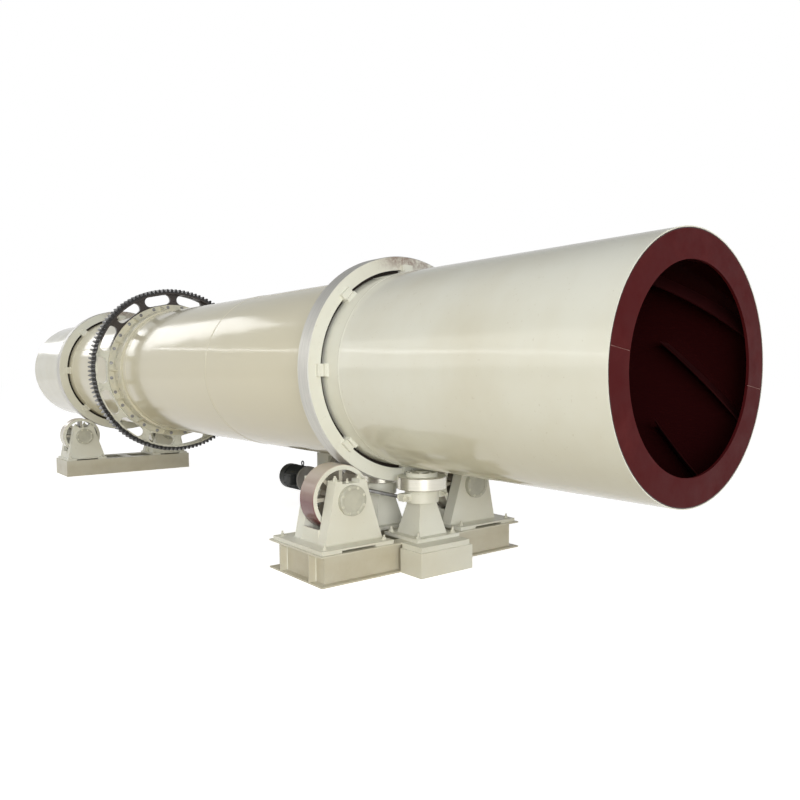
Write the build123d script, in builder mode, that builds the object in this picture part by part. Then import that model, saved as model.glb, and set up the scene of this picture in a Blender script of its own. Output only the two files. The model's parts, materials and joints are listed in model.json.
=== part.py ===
from build123d import *
import os
from math import acos, cos, pi, radians, sin, tan

os.makedirs("parts", exist_ok=True)

# Rotary dryer: X runs along the drum towards its open mouth, Z is up, and the origin
# lies on the ground under the middle of the near tyre.

# Drum shell
drum_length = 14000.0
shell_radius = 900.0
shell_thickness = 14.0
shell_course_count = 5
mouth_reach = 3120.0
far_reach = 2500.0

# Retaining rings inside both ends of the shell
end_ring_depth = 189.0
end_ring_thickness = 20.0
end_ring_segments = 2
end_ring_joint = 4.0
end_ring_turn = -9.0

# Lifting flights inside the shell
flight_count = 12
flight_height = 130.0
flight_lip = 60.0
flight_lip_angle = 60.0
flight_thickness = 10.0
flight_end_margin = 1200.0

# Inlet spirals behind the near ring
spiral_count = 8
spiral_height = 110.0
spiral_reach = 700.0
spiral_gap = 30.0
spiral_thickness = 10.0
spiral_angle = 40.0
spiral_turn = -6.0

# Tyres and the pads that carry them on the shell
tyre_depth = 130.0
tyre_width = 180.0
tyre_edge = 6.0
pad_count = 8
pad_thickness = 30.0
pad_width = 110.0
pad_overhang = 70.0
stop_length = 40.0
stop_height = 50.0

# Girth gear and its mount on the shell
gear_before_tyre = 2580.0
gear_module = 20.0
gear_pitch_height = 320.0
gear_face = 180.0
gear_rim_depth = 35.0
gear_web_thickness = 50.0
gear_spokes = 14
gear_window_length = 390.0
gear_window_margin = 8.0
gear_collar_depth = 70.0
gear_collar_width = 90.0
pressure_angle = 20.0
tooth_thinning = 0.6
tooth_root_share = 1.25
gear_flank_steps = 3
pinion_flank_steps = 6
mount_band_thickness = 25.0
mount_band_width = 320.0
mount_gap = 5.0
mount_flange_thickness = 30.0
mount_gusset_thickness = 20.0
mount_gusset_reach = 200.0

# Pinion, overhung on its shaft, with the pedestal that carries it
pinion_teeth = 19
pinion_face = 210.0
pinion_angle = 58.0
pinion_nut_length = 30.0
pinion_shaft_radius = 70.0
pinion_shaft_overrun = 40.0
housing_gap = 45.0
housing_length = 400.0
housing_radius = 140.0
arm_reach = 2150.0
arm_depth = 200.0
arm_gap = 20.0
column_length = 240.0
column_width = 180.0
column_plate_size = 460.0
column_plate_thickness = 30.0
column_rib_thickness = 20.0
column_rib_height = 260.0

# Coupling and line shaft between the pinion and the reducer
coupling_radius = 150.0
coupling_length = 150.0
line_shaft_radius = 45.0
line_shaft_length = 2013.0

# Support rollers
roller_radius = 300.0
roller_width = 230.0
roller_angle = 33.0
roller_rim = 45.0
roller_hub_radius = 105.0
roller_spokes = 8
roller_spoke_thickness = 34.0
roller_spoke_width = 190.0
roller_shaft_radius = 60.0
rolling_gap = 0.3
running_fit = 0.05

# Bearing pedestals of the support rollers
pedestal_gap = 20.0
pedestal_thickness = 130.0
pedestal_rise = 150.0
pedestal_top_width = 320.0
pedestal_foot_out = 270.0
pedestal_foot_in = 330.0
ear_width = 70.0
ear_height = 25.0
cap_radius = 136.0
cap_thickness = 35.0
cap_gap = 10.0
roller_foot_clearance = 73.0

# Feet under the pedestals
foot_thickness = 33.0
near_foot_out = 400.0
far_foot_out = 290.0
foot_in = 340.0
foot_slot_length = 350.0
foot_slot_height = 18.0
side_plate_thickness = 16.0
side_plate_height = 120.0
side_plate_inset = 38.0

# Base frames of the two stations
frame_height = 267.0
near_frame_length = 920.0
far_frame_length = 720.0
frame_lip = 30.0
frame_side_margin = 26.0
flange_width = 150.0
flange_thickness = 14.0
web_thickness = 16.0
near_web_inset = 67.0
far_web_inset = 0.0
stiffener_thickness = 14.0
stiffener_reach = 210.0
anchor_radius = 14.0

# Thrust rollers beside the near tyre
thrust_radius = 235.0
thrust_rim_height = 115.0
thrust_overlap = 76.0
thrust_clearance = 5.0
thrust_cap_radius = 150.0
thrust_cap_height = 38.0
thrust_pin_radius = 70.0
thrust_pin_length = 90.0
thrust_pin_gap = 8.0
thrust_bottom_gap = 8.0
neck_radius = 160.0
neck_height = 115.0
trunk_top_size = 190.0
trunk_foot_size = 330.0
thrust_plate_size = 500.0
thrust_plate_thickness = 30.0
lug_width = 80.0
lug_height = 70.0
lug_reach = 245.0
tie_rod_radius = 18.0
tie_rod_inset = 22.0

# Boxes that carry the thrust rollers' pedestals
thrust_box_length = 300.0
thrust_box_width = 600.0
thrust_box_offset = -50.0
thrust_pack_height = 46.0
thrust_pack_inset = 20.0

# Drive: stand, reducer, belt guard and motor
drive_deck_drop = 300.0
deck_rail_depth = 100.0
deck_rail_width = 70.0
deck_half_width = 225.0
deck_cross_width = 90.0
leg_size = 90.0
leg_foot_size = 150.0
leg_foot_thickness = 16.0
reducer_length = 467.0
reducer_width = 400.0
reducer_top = 260.0
reducer_foot_width = 560.0
reducer_foot_thickness = 40.0
reducer_flange_thickness = 40.0
reducer_flange_width = 480.0
reducer_edge = 30.0
reducer_boss_radius = 120.0
reducer_boss_length = 60.0
guard_thickness = 120.0
guard_big_radius = 230.0
guard_small_radius = 140.0
motor_length = 500.0
motor_height = 350.0
motor_side_gap = 190.0
motor_radius = 160.0
motor_cowl_radius = 170.0
motor_cowl_length = 140.0
motor_flange_length = 24.0
motor_flange_radius = 176.0
motor_edge = 18.0
eye_share = 0.73
eye_ring_radius = 28.0
eye_bar_radius = 8.0
eye_stem_height = 16.0
terminal_length = 190.0
terminal_height = 150.0
terminal_depth = 70.0
terminal_edge = 14.0
terminal_gap = 20.0
bracket_thickness = 30.0
bracket_width = 200.0
bracket_foot_length = 330.0
bracket_foot_thickness = 24.0
bracket_rib_thickness = 20.0
bracket_rib_share = 0.6
shaft_tube_radius = 60.0
shaft_tube_length = 561.0

# One overrun serves all cuts
cut_overrun = 50.0

# Places worked out from the sizes above
tyre_radius = shell_radius + pad_thickness + tyre_depth
tyre_spacing = drum_length - mouth_reach - far_reach
axis_over_foot = roller_radius + roller_foot_clearance
roller_axis_height = frame_height + foot_thickness + axis_over_foot
roller_distance = tyre_radius + roller_radius + rolling_gap
roller_offset = roller_distance * sin(radians(roller_angle))
axis_height = roller_axis_height + roller_distance * cos(radians(roller_angle))
tyre_inner_radius = shell_radius + pad_thickness
shell_inner_radius = shell_radius - shell_thickness
mouth_radius = shell_inner_radius - end_ring_depth
far_end = mouth_reach - drum_length
gear_x = gear_before_tyre - tyre_spacing
gear_teeth = round(2 * (shell_radius + gear_pitch_height) / gear_module)
gear_pitch_radius = gear_module * gear_teeth / 2
pinion_pitch_radius = gear_module * pinion_teeth / 2
pinion_distance = gear_pitch_radius + pinion_pitch_radius
pinion_y = pinion_distance * sin(radians(pinion_angle))
pinion_z = axis_height - pinion_distance * cos(radians(pinion_angle))
pedestal_inner = roller_width / 2 + pedestal_gap
pedestal_outer = pedestal_inner + pedestal_thickness
foot_top = frame_height + foot_thickness
thrust_reach = tyre_width / 2 + thrust_clearance + thrust_radius
deck_top = pinion_z - drive_deck_drop
stations = {"near": 0.0, "far": -tyre_spacing}
sides = {"left": -1, "right": 1}


def cross_plane(x, y=0.0, z=axis_height):
    """Plane across the drum at x, with Y to the right and Z up, facing the mouth."""
    return Plane(origin=(x, y, z), x_dir=(0, 1, 0), z_dir=(1, 0, 0))


def floor_plane(x=0.0, y=0.0, z=0.0):
    """Level plane with its origin at the given place."""
    return Plane(origin=(x, y, z))


def keep(piece, label):
    """Label a finished piece and write it out."""
    piece.part.label = label
    export_step(piece.part, f"parts/{label}.step")


def involute(cosine):
    """Involute function of the angle that has this cosine."""
    angle = acos(cosine)
    return tan(angle) - angle


def tooth_outline(teeth, turn, steps):
    """Points of an involute gear's outline with a tooth's middle at the angle turn."""
    pitch_radius = gear_module * teeth / 2
    base_radius = pitch_radius * cos(radians(pressure_angle))
    tip_radius = pitch_radius + gear_module
    root_radius = pitch_radius - tooth_root_share * gear_module
    flank_start = max(base_radius, root_radius)
    half_pitch = (pi * gear_module / 2 - tooth_thinning) / (2 * pitch_radius)
    half_base = half_pitch + involute(cos(radians(pressure_angle)))
    flank = []
    for step in range(steps + 1):
        radius = flank_start + (tip_radius - flank_start) * step / steps
        flank.append((radius, half_base - involute(min(1.0, base_radius / radius))))
    side = [(root_radius, flank[0][1])] + [f for f in flank if f[0] > root_radius]
    points = []
    for tooth in range(teeth):
        middle = radians(turn) + 2 * pi * tooth / teeth
        for radius, half in side:
            points.append((radius * cos(middle - half), radius * sin(middle - half)))
        for radius, half in reversed(side):
            points.append((radius * cos(middle + half), radius * sin(middle + half)))
    return points


# Shell courses, rolled plates welded end to end
course_length = drum_length / shell_course_count
for course in range(shell_course_count):
    with BuildPart() as shell_course:
        with BuildSketch(cross_plane(mouth_reach - (course + 1) * course_length)):
            Circle(shell_radius)
            Circle(shell_inner_radius, mode=Mode.SUBTRACT)
        extrude(amount=course_length)
    keep(shell_course, f"shell_course_{course + 1}")

# Retaining rings, in segments with open joints
end_ring_places = {"near_end_ring": mouth_reach - end_ring_thickness, "far_end_ring": far_end}
for ring_name, ring_x in end_ring_places.items():
    with BuildPart() as end_ring:
        with BuildSketch(cross_plane(ring_x)):
            Circle(shell_inner_radius)
            Circle(mouth_radius, mode=Mode.SUBTRACT)
            with PolarLocations((shell_inner_radius + mouth_radius) / 2, end_ring_segments, end_ring_turn):
                Rectangle(shell_inner_radius - mouth_radius + cut_overrun, end_ring_joint, mode=Mode.SUBTRACT)
        extrude(amount=end_ring_thickness)
    keep(end_ring, ring_name)

# Lifting flights, bent plates standing on the inside of the shell
drum_axis = Axis((0, 0, axis_height), (1, 0, 0))
with BuildPart() as lifting_flights:
    with BuildSketch(cross_plane(far_end + flight_end_margin)):
        with BuildLine():
            bend_radius = shell_inner_radius - flight_height
            lip_depth = flight_lip * cos(radians(flight_lip_angle))
            lip_side = flight_lip * sin(radians(flight_lip_angle))
            Polyline(
                (shell_radius, 0),
                (bend_radius, 0),
                (bend_radius - lip_depth, lip_side),
                (bend_radius - lip_depth + flight_thickness, lip_side + flight_thickness / 2),
                (bend_radius + flight_thickness / 2, flight_thickness),
                (shell_radius, flight_thickness),
                close=True,
            )
        make_face()
        Circle(shell_inner_radius, mode=Mode.INTERSECT)
    flight = extrude(amount=drum_length - 2 * flight_end_margin, mode=Mode.PRIVATE)
    for row in range(flight_count):
        add(flight.rotate(drum_axis, row * 360 / flight_count))
keep(lifting_flights, "lifting_flights")

# Inlet spirals, slanted plates trimmed to the inside of the shell, that push the feed inwards
spiral_end = mouth_reach - end_ring_thickness - spiral_gap
spiral_run = cos(radians(spiral_angle))
spiral_rise = sin(radians(spiral_angle))
spiral_plane = Plane(
    origin=(spiral_end - spiral_reach / 2, shell_inner_radius, axis_height),
    x_dir=(-spiral_run, 0, spiral_rise),
    z_dir=(-spiral_rise, 0, -spiral_run),
)
with BuildPart() as inlet_spirals:
    with BuildSketch(spiral_plane):
        Rectangle(spiral_reach / spiral_run + cut_overrun, shell_inner_radius)
    plate = extrude(amount=spiral_thickness / 2, both=True, mode=Mode.PRIVATE)
    for row in range(spiral_count):
        add(plate.rotate(drum_axis, spiral_turn + row * 360 / spiral_count))
    with BuildSketch(cross_plane(spiral_end - spiral_reach)):
        Circle(shell_inner_radius)
        Circle(shell_inner_radius - spiral_height, mode=Mode.SUBTRACT)
    extrude(amount=spiral_reach, mode=Mode.INTERSECT)
keep(inlet_spirals, "inlet_spirals")

# Tyres, and the pads and stops that hold them on the shell
for station, station_x in stations.items():
    with BuildPart() as tyre:
        with BuildSketch(cross_plane(station_x - tyre_width / 2)):
            Circle(tyre_radius)
            Circle(tyre_inner_radius, mode=Mode.SUBTRACT)
        extrude(amount=tyre_width)
        chamfer(tyre.edges().filter_by(GeomType.CIRCLE).sort_by(SortBy.RADIUS)[-2:], tyre_edge)
    keep(tyre, f"{station}_tyre")

    pad_length = tyre_width + 2 * pad_overhang
    with BuildPart() as tyre_pads:
        with BuildSketch(cross_plane(station_x - pad_length / 2)):
            Circle(tyre_inner_radius + stop_height)
            Circle(shell_radius, mode=Mode.SUBTRACT)
        extrude(amount=pad_length)
        with BuildSketch(cross_plane(station_x - tyre_width / 2)):
            Circle(tyre_radius)
            Circle(tyre_inner_radius, mode=Mode.SUBTRACT)
        extrude(amount=tyre_width, mode=Mode.SUBTRACT)
        for face_side in (-1, 1):
            outer_start = tyre_width / 2 + stop_length
            with BuildSketch(cross_plane(station_x + face_side * outer_start)):
                Circle(tyre_radius)
                Circle(tyre_inner_radius, mode=Mode.SUBTRACT)
            extrude(amount=face_side * pad_overhang, mode=Mode.SUBTRACT)
        with BuildSketch(cross_plane(station_x - pad_length / 2)):
            with PolarLocations(shell_radius, pad_count):
                Rectangle(2 * (pad_thickness + stop_height) + cut_overrun, pad_width)
        extrude(amount=pad_length, mode=Mode.INTERSECT)
    keep(tyre_pads, f"{station}_tyre_pads")

# Girth gear: toothed rim, web with round-ended windows, and inner collar
gear_root_radius = gear_pitch_radius - tooth_root_share * gear_module
gear_rim_inner = gear_root_radius - gear_rim_depth
gear_bore_radius = shell_radius + mount_band_thickness + mount_gap
gear_collar_outer = gear_bore_radius + gear_collar_depth
gear_window_height = gear_rim_inner - gear_collar_outer - 2 * gear_window_margin
with BuildPart() as girth_gear:
    with BuildSketch(cross_plane(gear_x - gear_face / 2)):
        with BuildLine():
            Polyline(*tooth_outline(gear_teeth, pinion_angle - 90, gear_flank_steps), close=True)
        make_face()
        Circle(gear_rim_inner, mode=Mode.SUBTRACT)
    extrude(amount=gear_face)
    with BuildSketch(cross_plane(gear_x - gear_web_thickness / 2)):
        Circle(gear_rim_inner)
        Circle(gear_bore_radius, mode=Mode.SUBTRACT)
        with PolarLocations((gear_rim_inner + gear_collar_outer) / 2, gear_spokes):
            SlotOverall(gear_window_length, gear_window_height, rotation=90, mode=Mode.SUBTRACT)
    extrude(amount=gear_web_thickness)
    with BuildSketch(cross_plane(gear_x - gear_collar_width / 2)):
        Circle(gear_collar_outer)
        Circle(gear_bore_radius, mode=Mode.SUBTRACT)
    extrude(amount=gear_collar_width)
keep(girth_gear, "girth_gear")

# Gear mount: band on the shell, flange bolted to the gear's collar, and gussets
mount_start = gear_x + gear_collar_width / 2
with BuildPart() as gear_mount:
    with BuildSketch(cross_plane(mount_start)):
        Circle(shell_radius + mount_band_thickness)
        Circle(shell_radius, mode=Mode.SUBTRACT)
    extrude(amount=mount_band_width)
    with BuildSketch(cross_plane(mount_start)):
        Circle(gear_collar_outer)
        Circle(shell_radius, mode=Mode.SUBTRACT)
    extrude(amount=mount_flange_thickness)
    gusset_plane = Plane(origin=(mount_start, 0, axis_height), x_dir=(1, 0, 0), z_dir=(0, -1, 0))
    with BuildSketch(gusset_plane) as gusset_face:
        with BuildLine():
            Polyline(
                (0, shell_radius + mount_band_thickness / 2),
                (mount_gusset_reach, shell_radius + mount_band_thickness / 2),
                (mount_gusset_reach, shell_radius + mount_band_thickness),
                (mount_flange_thickness, gear_collar_outer - mount_gap),
                (0, gear_collar_outer - mount_gap),
                close=True,
            )
        make_face()
    gusset = extrude(amount=mount_gusset_thickness / 2, both=True, mode=Mode.PRIVATE)
    for spoke in range(gear_spokes):
        add(gusset.rotate(drum_axis, (2 * spoke + 1) * 180 / gear_spokes))
keep(gear_mount, "gear_mount")

# Support rollers: rim, hub, spokes and stub shafts
shaft_half = pedestal_outer - cap_gap
for station, station_x in stations.items():
    for side, sign in sides.items():
        roller_y = sign * roller_offset
        with BuildPart() as roller:
            with BuildSketch(cross_plane(station_x - roller_width / 2, roller_y, roller_axis_height)):
                Circle(roller_radius)
                Circle(roller_radius - roller_rim, mode=Mode.SUBTRACT)
                Circle(roller_hub_radius)
            extrude(amount=roller_width)
            chamfer(roller.edges().filter_by(GeomType.CIRCLE).sort_by(SortBy.RADIUS)[-2:], tyre_edge)
            with BuildSketch(cross_plane(station_x - roller_spoke_width / 2, roller_y, roller_axis_height)):
                with PolarLocations((roller_radius - roller_rim) / 2, roller_spokes):
                    Rectangle(roller_radius - roller_rim, roller_spoke_thickness)
                Circle(roller_radius - roller_rim / 2, mode=Mode.INTERSECT)
            extrude(amount=roller_spoke_width)
            with BuildSketch(cross_plane(station_x - shaft_half, roller_y, roller_axis_height)):
                Circle(roller_shaft_radius)
            extrude(amount=2 * shaft_half)
        keep(roller, f"{station}_{side}_roller")

        with BuildPart() as pedestals:
            for end_sign in (-1, 1):
                start = station_x + end_sign * pedestal_inner
                with BuildSketch(cross_plane(start, roller_y, roller_axis_height)):
                    with BuildLine():
                        Polyline(
                            (sign * pedestal_foot_out, -axis_over_foot),
                            (sign * pedestal_top_width / 2, pedestal_rise),
                            (-sign * pedestal_top_width / 2, pedestal_rise),
                            (-sign * pedestal_foot_in, -axis_over_foot),
                            close=True,
                        )
                    make_face()
                    ear_y = (pedestal_top_width - ear_width) / 2
                    with Locations((-ear_y, pedestal_rise), (ear_y, pedestal_rise)):
                        Rectangle(ear_width, 2 * ear_height)
                    Circle(roller_shaft_radius + running_fit, mode=Mode.SUBTRACT)
                extrude(amount=end_sign * pedestal_thickness)
        keep(pedestals, f"{station}_{side}_pedestals")

    with BuildPart() as bearing_caps:
        for sign in sides.values():
            for end_sign in (-1, 1):
                start = station_x + end_sign * pedestal_outer
                with BuildSketch(cross_plane(start, sign * roller_offset, roller_axis_height)):
                    Circle(cap_radius)
                extrude(amount=end_sign * cap_thickness)
    keep(bearing_caps, f"{station}_bearing_caps")

# Feet with relief slots, and low plates that close the space under the rollers
frame_lengths = {"near": near_frame_length, "far": far_frame_length}
foot_outs = {"near": near_foot_out, "far": far_foot_out}
side_plate_reach = roller_radius - side_plate_inset
for station, station_x in stations.items():
    foot_length = frame_lengths[station] - 2 * frame_lip
    foot_out = foot_outs[station]
    for side, sign in sides.items():
        roller_y = sign * roller_offset
        foot_middle = roller_y + sign * (foot_out - foot_in) / 2
        with BuildPart() as foot:
            with BuildSketch(floor_plane(station_x, foot_middle, frame_height)):
                Rectangle(foot_length, foot_out + foot_in)
            extrude(amount=foot_thickness)
            with BuildSketch(floor_plane(station_x, foot_middle, frame_height)):
                Rectangle(foot_length + cut_overrun, foot_slot_length)
            extrude(amount=foot_slot_height, mode=Mode.SUBTRACT)
            for plate_sign in (-1, 1):
                plate_y = roller_y + plate_sign * (side_plate_reach - side_plate_thickness)
                side_plane = Plane(
                    origin=(station_x, plate_y, foot_top + side_plate_height / 2),
                    x_dir=(plate_sign, 0, 0),
                    z_dir=(0, plate_sign, 0),
                )
                with BuildSketch(side_plane):
                    Rectangle(2 * pedestal_inner, side_plate_height)
                extrude(amount=side_plate_thickness)
        keep(foot, f"{station}_{side}_foot")

# Base frames: flange rings over and under a web, with stiffeners and anchor holes
web_insets = {"near": near_web_inset, "far": far_web_inset}
for station, station_x in stations.items():
    length = frame_lengths[station]
    width = 2 * (roller_offset + foot_outs[station] + frame_side_margin)
    web_inset = web_insets[station]
    web_height = frame_height - 2 * flange_thickness
    cross_members = [(0.0, -roller_offset), (0.0, 0.0), (0.0, roller_offset)]
    with BuildPart() as base_frame:
        for flange_z in (0.0, frame_height - flange_thickness):
            with BuildSketch(floor_plane(station_x, 0.0, flange_z)):
                Rectangle(length, width)
                Rectangle(length - 2 * flange_width, width - 2 * flange_width, mode=Mode.SUBTRACT)
                with Locations(*cross_members):
                    Rectangle(length, flange_width)
            extrude(amount=flange_thickness)
        with BuildSketch(floor_plane(station_x, 0.0, flange_thickness)):
            Rectangle(length - 2 * web_inset, width - 2 * web_inset)
            inner_length = length - 2 * web_inset - 2 * web_thickness
            inner_width = width - 2 * web_inset - 2 * web_thickness
            Rectangle(inner_length, inner_width, mode=Mode.SUBTRACT)
            with Locations(*cross_members):
                Rectangle(length - 2 * web_inset, web_thickness)
            with GridLocations(length - 2 * stiffener_reach, width - flange_width, 2, 2):
                Rectangle(stiffener_thickness, flange_width)
        extrude(amount=web_height)
        anchor_spacing_x = length - flange_width / 2
        anchor_spacing_y = width - flange_width / 2
        with BuildSketch(floor_plane(station_x)):
            with GridLocations(anchor_spacing_x, anchor_spacing_y, 2, 2):
                Circle(anchor_radius)
        extrude(amount=flange_thickness, mode=Mode.SUBTRACT)
    keep(base_frame, f"{station}_frame")

# Thrust rollers, their pedestals, boxes and tie rods
rim_bottom = axis_height - tyre_radius + thrust_overlap - thrust_rim_height
rim_top = rim_bottom + thrust_rim_height
neck_top = rim_bottom - thrust_bottom_gap
neck_bottom = neck_top - neck_height
plate_top = frame_height + thrust_plate_thickness
lug_z = neck_bottom + neck_height / 2
thrust_signs = {"front": 1, "back": -1}
for name, end_sign in thrust_signs.items():
    thrust_x = end_sign * thrust_reach
    with BuildPart() as thrust_roller:
        with BuildSketch(floor_plane(thrust_x, 0.0, rim_bottom)):
            Circle(thrust_radius)
        extrude(amount=thrust_rim_height)
        chamfer(thrust_roller.edges().filter_by(GeomType.CIRCLE), tyre_edge)
        with BuildSketch(floor_plane(thrust_x, 0.0, rim_top)):
            Circle(thrust_cap_radius)
        extrude(amount=thrust_cap_height)
        with BuildSketch(floor_plane(thrust_x, 0.0, rim_bottom)):
            Circle(thrust_pin_radius + running_fit)
        extrude(amount=thrust_pin_length + thrust_pin_gap, mode=Mode.SUBTRACT)
    keep(thrust_roller, f"{name}_thrust_roller")

    with BuildPart() as thrust_pedestal:
        with BuildSketch(floor_plane(thrust_x, 0.0, frame_height)):
            Rectangle(thrust_plate_size, thrust_plate_size)
        extrude(amount=thrust_plate_thickness)
        with BuildSketch(floor_plane(thrust_x, 0.0, plate_top)):
            Rectangle(trunk_foot_size, trunk_foot_size)
        with BuildSketch(floor_plane(thrust_x, 0.0, neck_bottom)):
            Rectangle(trunk_top_size, trunk_top_size)
        loft()
        with BuildSketch(floor_plane(thrust_x, 0.0, neck_bottom)):
            Circle(neck_radius)
        extrude(amount=neck_height)
        with BuildSketch(floor_plane(thrust_x, 0.0, neck_top)):
            Circle(thrust_pin_radius)
        extrude(amount=thrust_pin_length + thrust_bottom_gap)
        with BuildSketch(floor_plane(thrust_x, 0.0, lug_z - lug_height / 2)):
            Rectangle(lug_width, 2 * lug_reach)
        extrude(amount=lug_height)
    keep(thrust_pedestal, f"{name}_thrust_pedestal")

    thrust_box_height = frame_height - thrust_pack_height
    box_x = end_sign * (near_frame_length + thrust_box_length) / 2
    with BuildPart() as thrust_box:
        with BuildSketch(floor_plane(box_x, thrust_box_offset)):
            Rectangle(thrust_box_length, thrust_box_width)
        extrude(amount=thrust_box_height)
        pack_x = box_x - end_sign * thrust_pack_inset / 2
        with BuildSketch(floor_plane(pack_x, thrust_box_offset, thrust_box_height)):
            Rectangle(thrust_box_length - thrust_pack_inset, thrust_box_width - 2 * thrust_pack_inset)
        extrude(amount=thrust_pack_height)
    keep(thrust_box, f"{name}_thrust_box")

with BuildPart() as tie_rods:
    rod_half = thrust_reach - lug_width / 2
    for rod_sign in (-1, 1):
        rod_y = rod_sign * (lug_reach - tie_rod_inset)
        with BuildSketch(cross_plane(-rod_half, rod_y, lug_z)):
            Circle(tie_rod_radius)
        extrude(amount=2 * rod_half)
keep(tie_rods, "tie_rods")

# Pinion on its shaft
pinion_turn = pinion_angle + 90 + 180 / pinion_teeth
housing_x = gear_x + pinion_face / 2 + housing_gap
shaft_start = gear_x - pinion_face / 2 - pinion_nut_length
shaft_end = housing_x + housing_length + pinion_shaft_overrun
with BuildPart() as pinion:
    with BuildSketch(cross_plane(gear_x - pinion_face / 2, pinion_y, pinion_z)):
        with BuildLine():
            Polyline(*tooth_outline(pinion_teeth, pinion_turn, pinion_flank_steps), close=True)
        make_face()
    extrude(amount=pinion_face)
    with BuildSketch(cross_plane(shaft_start, pinion_y, pinion_z)):
        Circle(pinion_shaft_radius)
    extrude(amount=shaft_end - shaft_start)
keep(pinion, "pinion")

# Pinion pedestal: bearing housing on a long arm, which a ribbed column carries
housing_middle = housing_x + housing_length / 2
column_x = housing_middle + arm_reach
arm_top = pinion_z - coupling_radius - arm_gap
arm_bottom = arm_top - arm_depth
with BuildPart() as pinion_pedestal:
    with BuildSketch(floor_plane(column_x, pinion_y)):
        Rectangle(column_plate_size, column_plate_size)
    extrude(amount=column_plate_thickness)
    with BuildSketch(floor_plane(column_x, pinion_y)):
        Rectangle(column_length, column_width)
    extrude(amount=arm_top)
    rib_plane = Plane(origin=(column_x, pinion_y, 0), x_dir=(0, 1, 0), z_dir=(1, 0, 0))
    with BuildSketch(rib_plane):
        with BuildLine():
            Polyline(
                (-column_plate_size / 2, 0),
                (column_plate_size / 2, 0),
                (column_plate_size / 2, column_plate_thickness),
                (column_width / 2, column_rib_height),
                (-column_width / 2, column_rib_height),
                (-column_plate_size / 2, column_plate_thickness),
                close=True,
            )
        make_face()
    extrude(amount=column_rib_thickness / 2, both=True)
    with BuildSketch(floor_plane((housing_x + column_x) / 2, pinion_y, arm_bottom)):
        Rectangle(column_x - housing_x, column_width)
    extrude(amount=arm_depth)
    with BuildSketch(floor_plane(housing_middle, pinion_y, arm_bottom)):
        Rectangle(housing_length, column_width)
    extrude(amount=pinion_z - arm_bottom)
    with BuildSketch(cross_plane(housing_x, pinion_y, pinion_z)):
        Circle(housing_radius)
    extrude(amount=housing_length)
    with BuildSketch(cross_plane(housing_x, pinion_y, pinion_z)):
        Circle(pinion_shaft_radius + running_fit)
    extrude(amount=housing_length, mode=Mode.SUBTRACT)
keep(pinion_pedestal, "pinion_pedestal")

# Coupling, with the line shaft that runs into the reducer
boss_start = shaft_end + coupling_length + line_shaft_length
reducer_x = boss_start + reducer_boss_length
with BuildPart() as coupling:
    with BuildSketch(cross_plane(shaft_end, pinion_y, pinion_z)):
        Circle(coupling_radius)
    extrude(amount=coupling_length)
    with BuildSketch(cross_plane(shaft_end, pinion_y, pinion_z)):
        Circle(line_shaft_radius)
    extrude(amount=reducer_x - shaft_end)
keep(coupling, "coupling")

# Reducer: rounded housing with a split flange, feet and shaft bosses
reducer_middle = reducer_x + reducer_length / 2
with BuildPart() as reducer:
    with BuildSketch(floor_plane(reducer_middle, pinion_y, deck_top)):
        Rectangle(reducer_length, reducer_width)
    extrude(amount=drive_deck_drop + reducer_top)
    fillet(reducer.edges().filter_by(Axis.X).sort_by(Axis.Z)[-2:], reducer_edge)
    with BuildSketch(floor_plane(reducer_middle, pinion_y, deck_top)):
        Rectangle(reducer_length, reducer_foot_width)
    extrude(amount=reducer_foot_thickness)
    with BuildSketch(floor_plane(reducer_middle, pinion_y, pinion_z - reducer_flange_thickness / 2)):
        Rectangle(reducer_length, reducer_flange_width)
    extrude(amount=reducer_flange_thickness)
    with BuildSketch(cross_plane(boss_start, pinion_y, pinion_z)):
        Circle(reducer_boss_radius)
    extrude(amount=reducer_length + 2 * reducer_boss_length)
    with BuildSketch(cross_plane(boss_start, pinion_y, pinion_z)):
        Circle(line_shaft_radius + running_fit)
    extrude(amount=reducer_boss_length + cap_gap, mode=Mode.SUBTRACT)
keep(reducer, "reducer")

# Belt guard over the two pulleys, with a tube over the motor's long shaft
guard_x = reducer_x + reducer_length + reducer_boss_length
rail_offset = deck_half_width - deck_rail_width / 2
stand_edge = pinion_y - rail_offset - leg_foot_size / 2
motor_y = stand_edge - motor_side_gap
tube_x = guard_x - shaft_tube_length
with BuildPart() as belt_guard:
    with BuildSketch(cross_plane(guard_x, 0.0, 0.0)):
        with Locations((pinion_y, pinion_z)):
            Circle(guard_big_radius)
        with Locations((motor_y, motor_height)):
            Circle(guard_small_radius)
        make_hull()
    extrude(amount=guard_thickness)
    with BuildSketch(cross_plane(tube_x, motor_y, motor_height)):
        Circle(shaft_tube_radius)
    extrude(amount=shaft_tube_length)
keep(belt_guard, "belt_guard")

# Base of the motor: a bracket with a round head, a foot and ribs behind
bracket_x = tube_x - bracket_thickness
with BuildPart() as motor_base:
    with BuildSketch(cross_plane(bracket_x, motor_y, motor_height)):
        Circle(motor_flange_radius)
        with Locations((0, -motor_height / 2)):
            Rectangle(bracket_width, motor_height)
    extrude(amount=bracket_thickness)
    with BuildSketch(floor_plane(bracket_x + bracket_foot_length / 2, motor_y)):
        Rectangle(bracket_foot_length, bracket_width)
    extrude(amount=bracket_foot_thickness)
    rib_y = (bracket_width - bracket_rib_thickness) / 2
    rib_top = bracket_rib_share * motor_height
    for rib_sign in (-1, 1):
        rib_plane = Plane(
            origin=(tube_x, motor_y + rib_sign * rib_y, bracket_foot_thickness),
            x_dir=(1, 0, 0),
            z_dir=(0, -1, 0),
        )
        with BuildSketch(rib_plane):
            with BuildLine():
                rib_reach = bracket_foot_length - bracket_thickness
                Polyline((0, 0), (rib_reach, 0), (0, rib_top), close=True)
            make_face()
        extrude(amount=bracket_rib_thickness / 2, both=True)
keep(motor_base, "motor_base")

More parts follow.
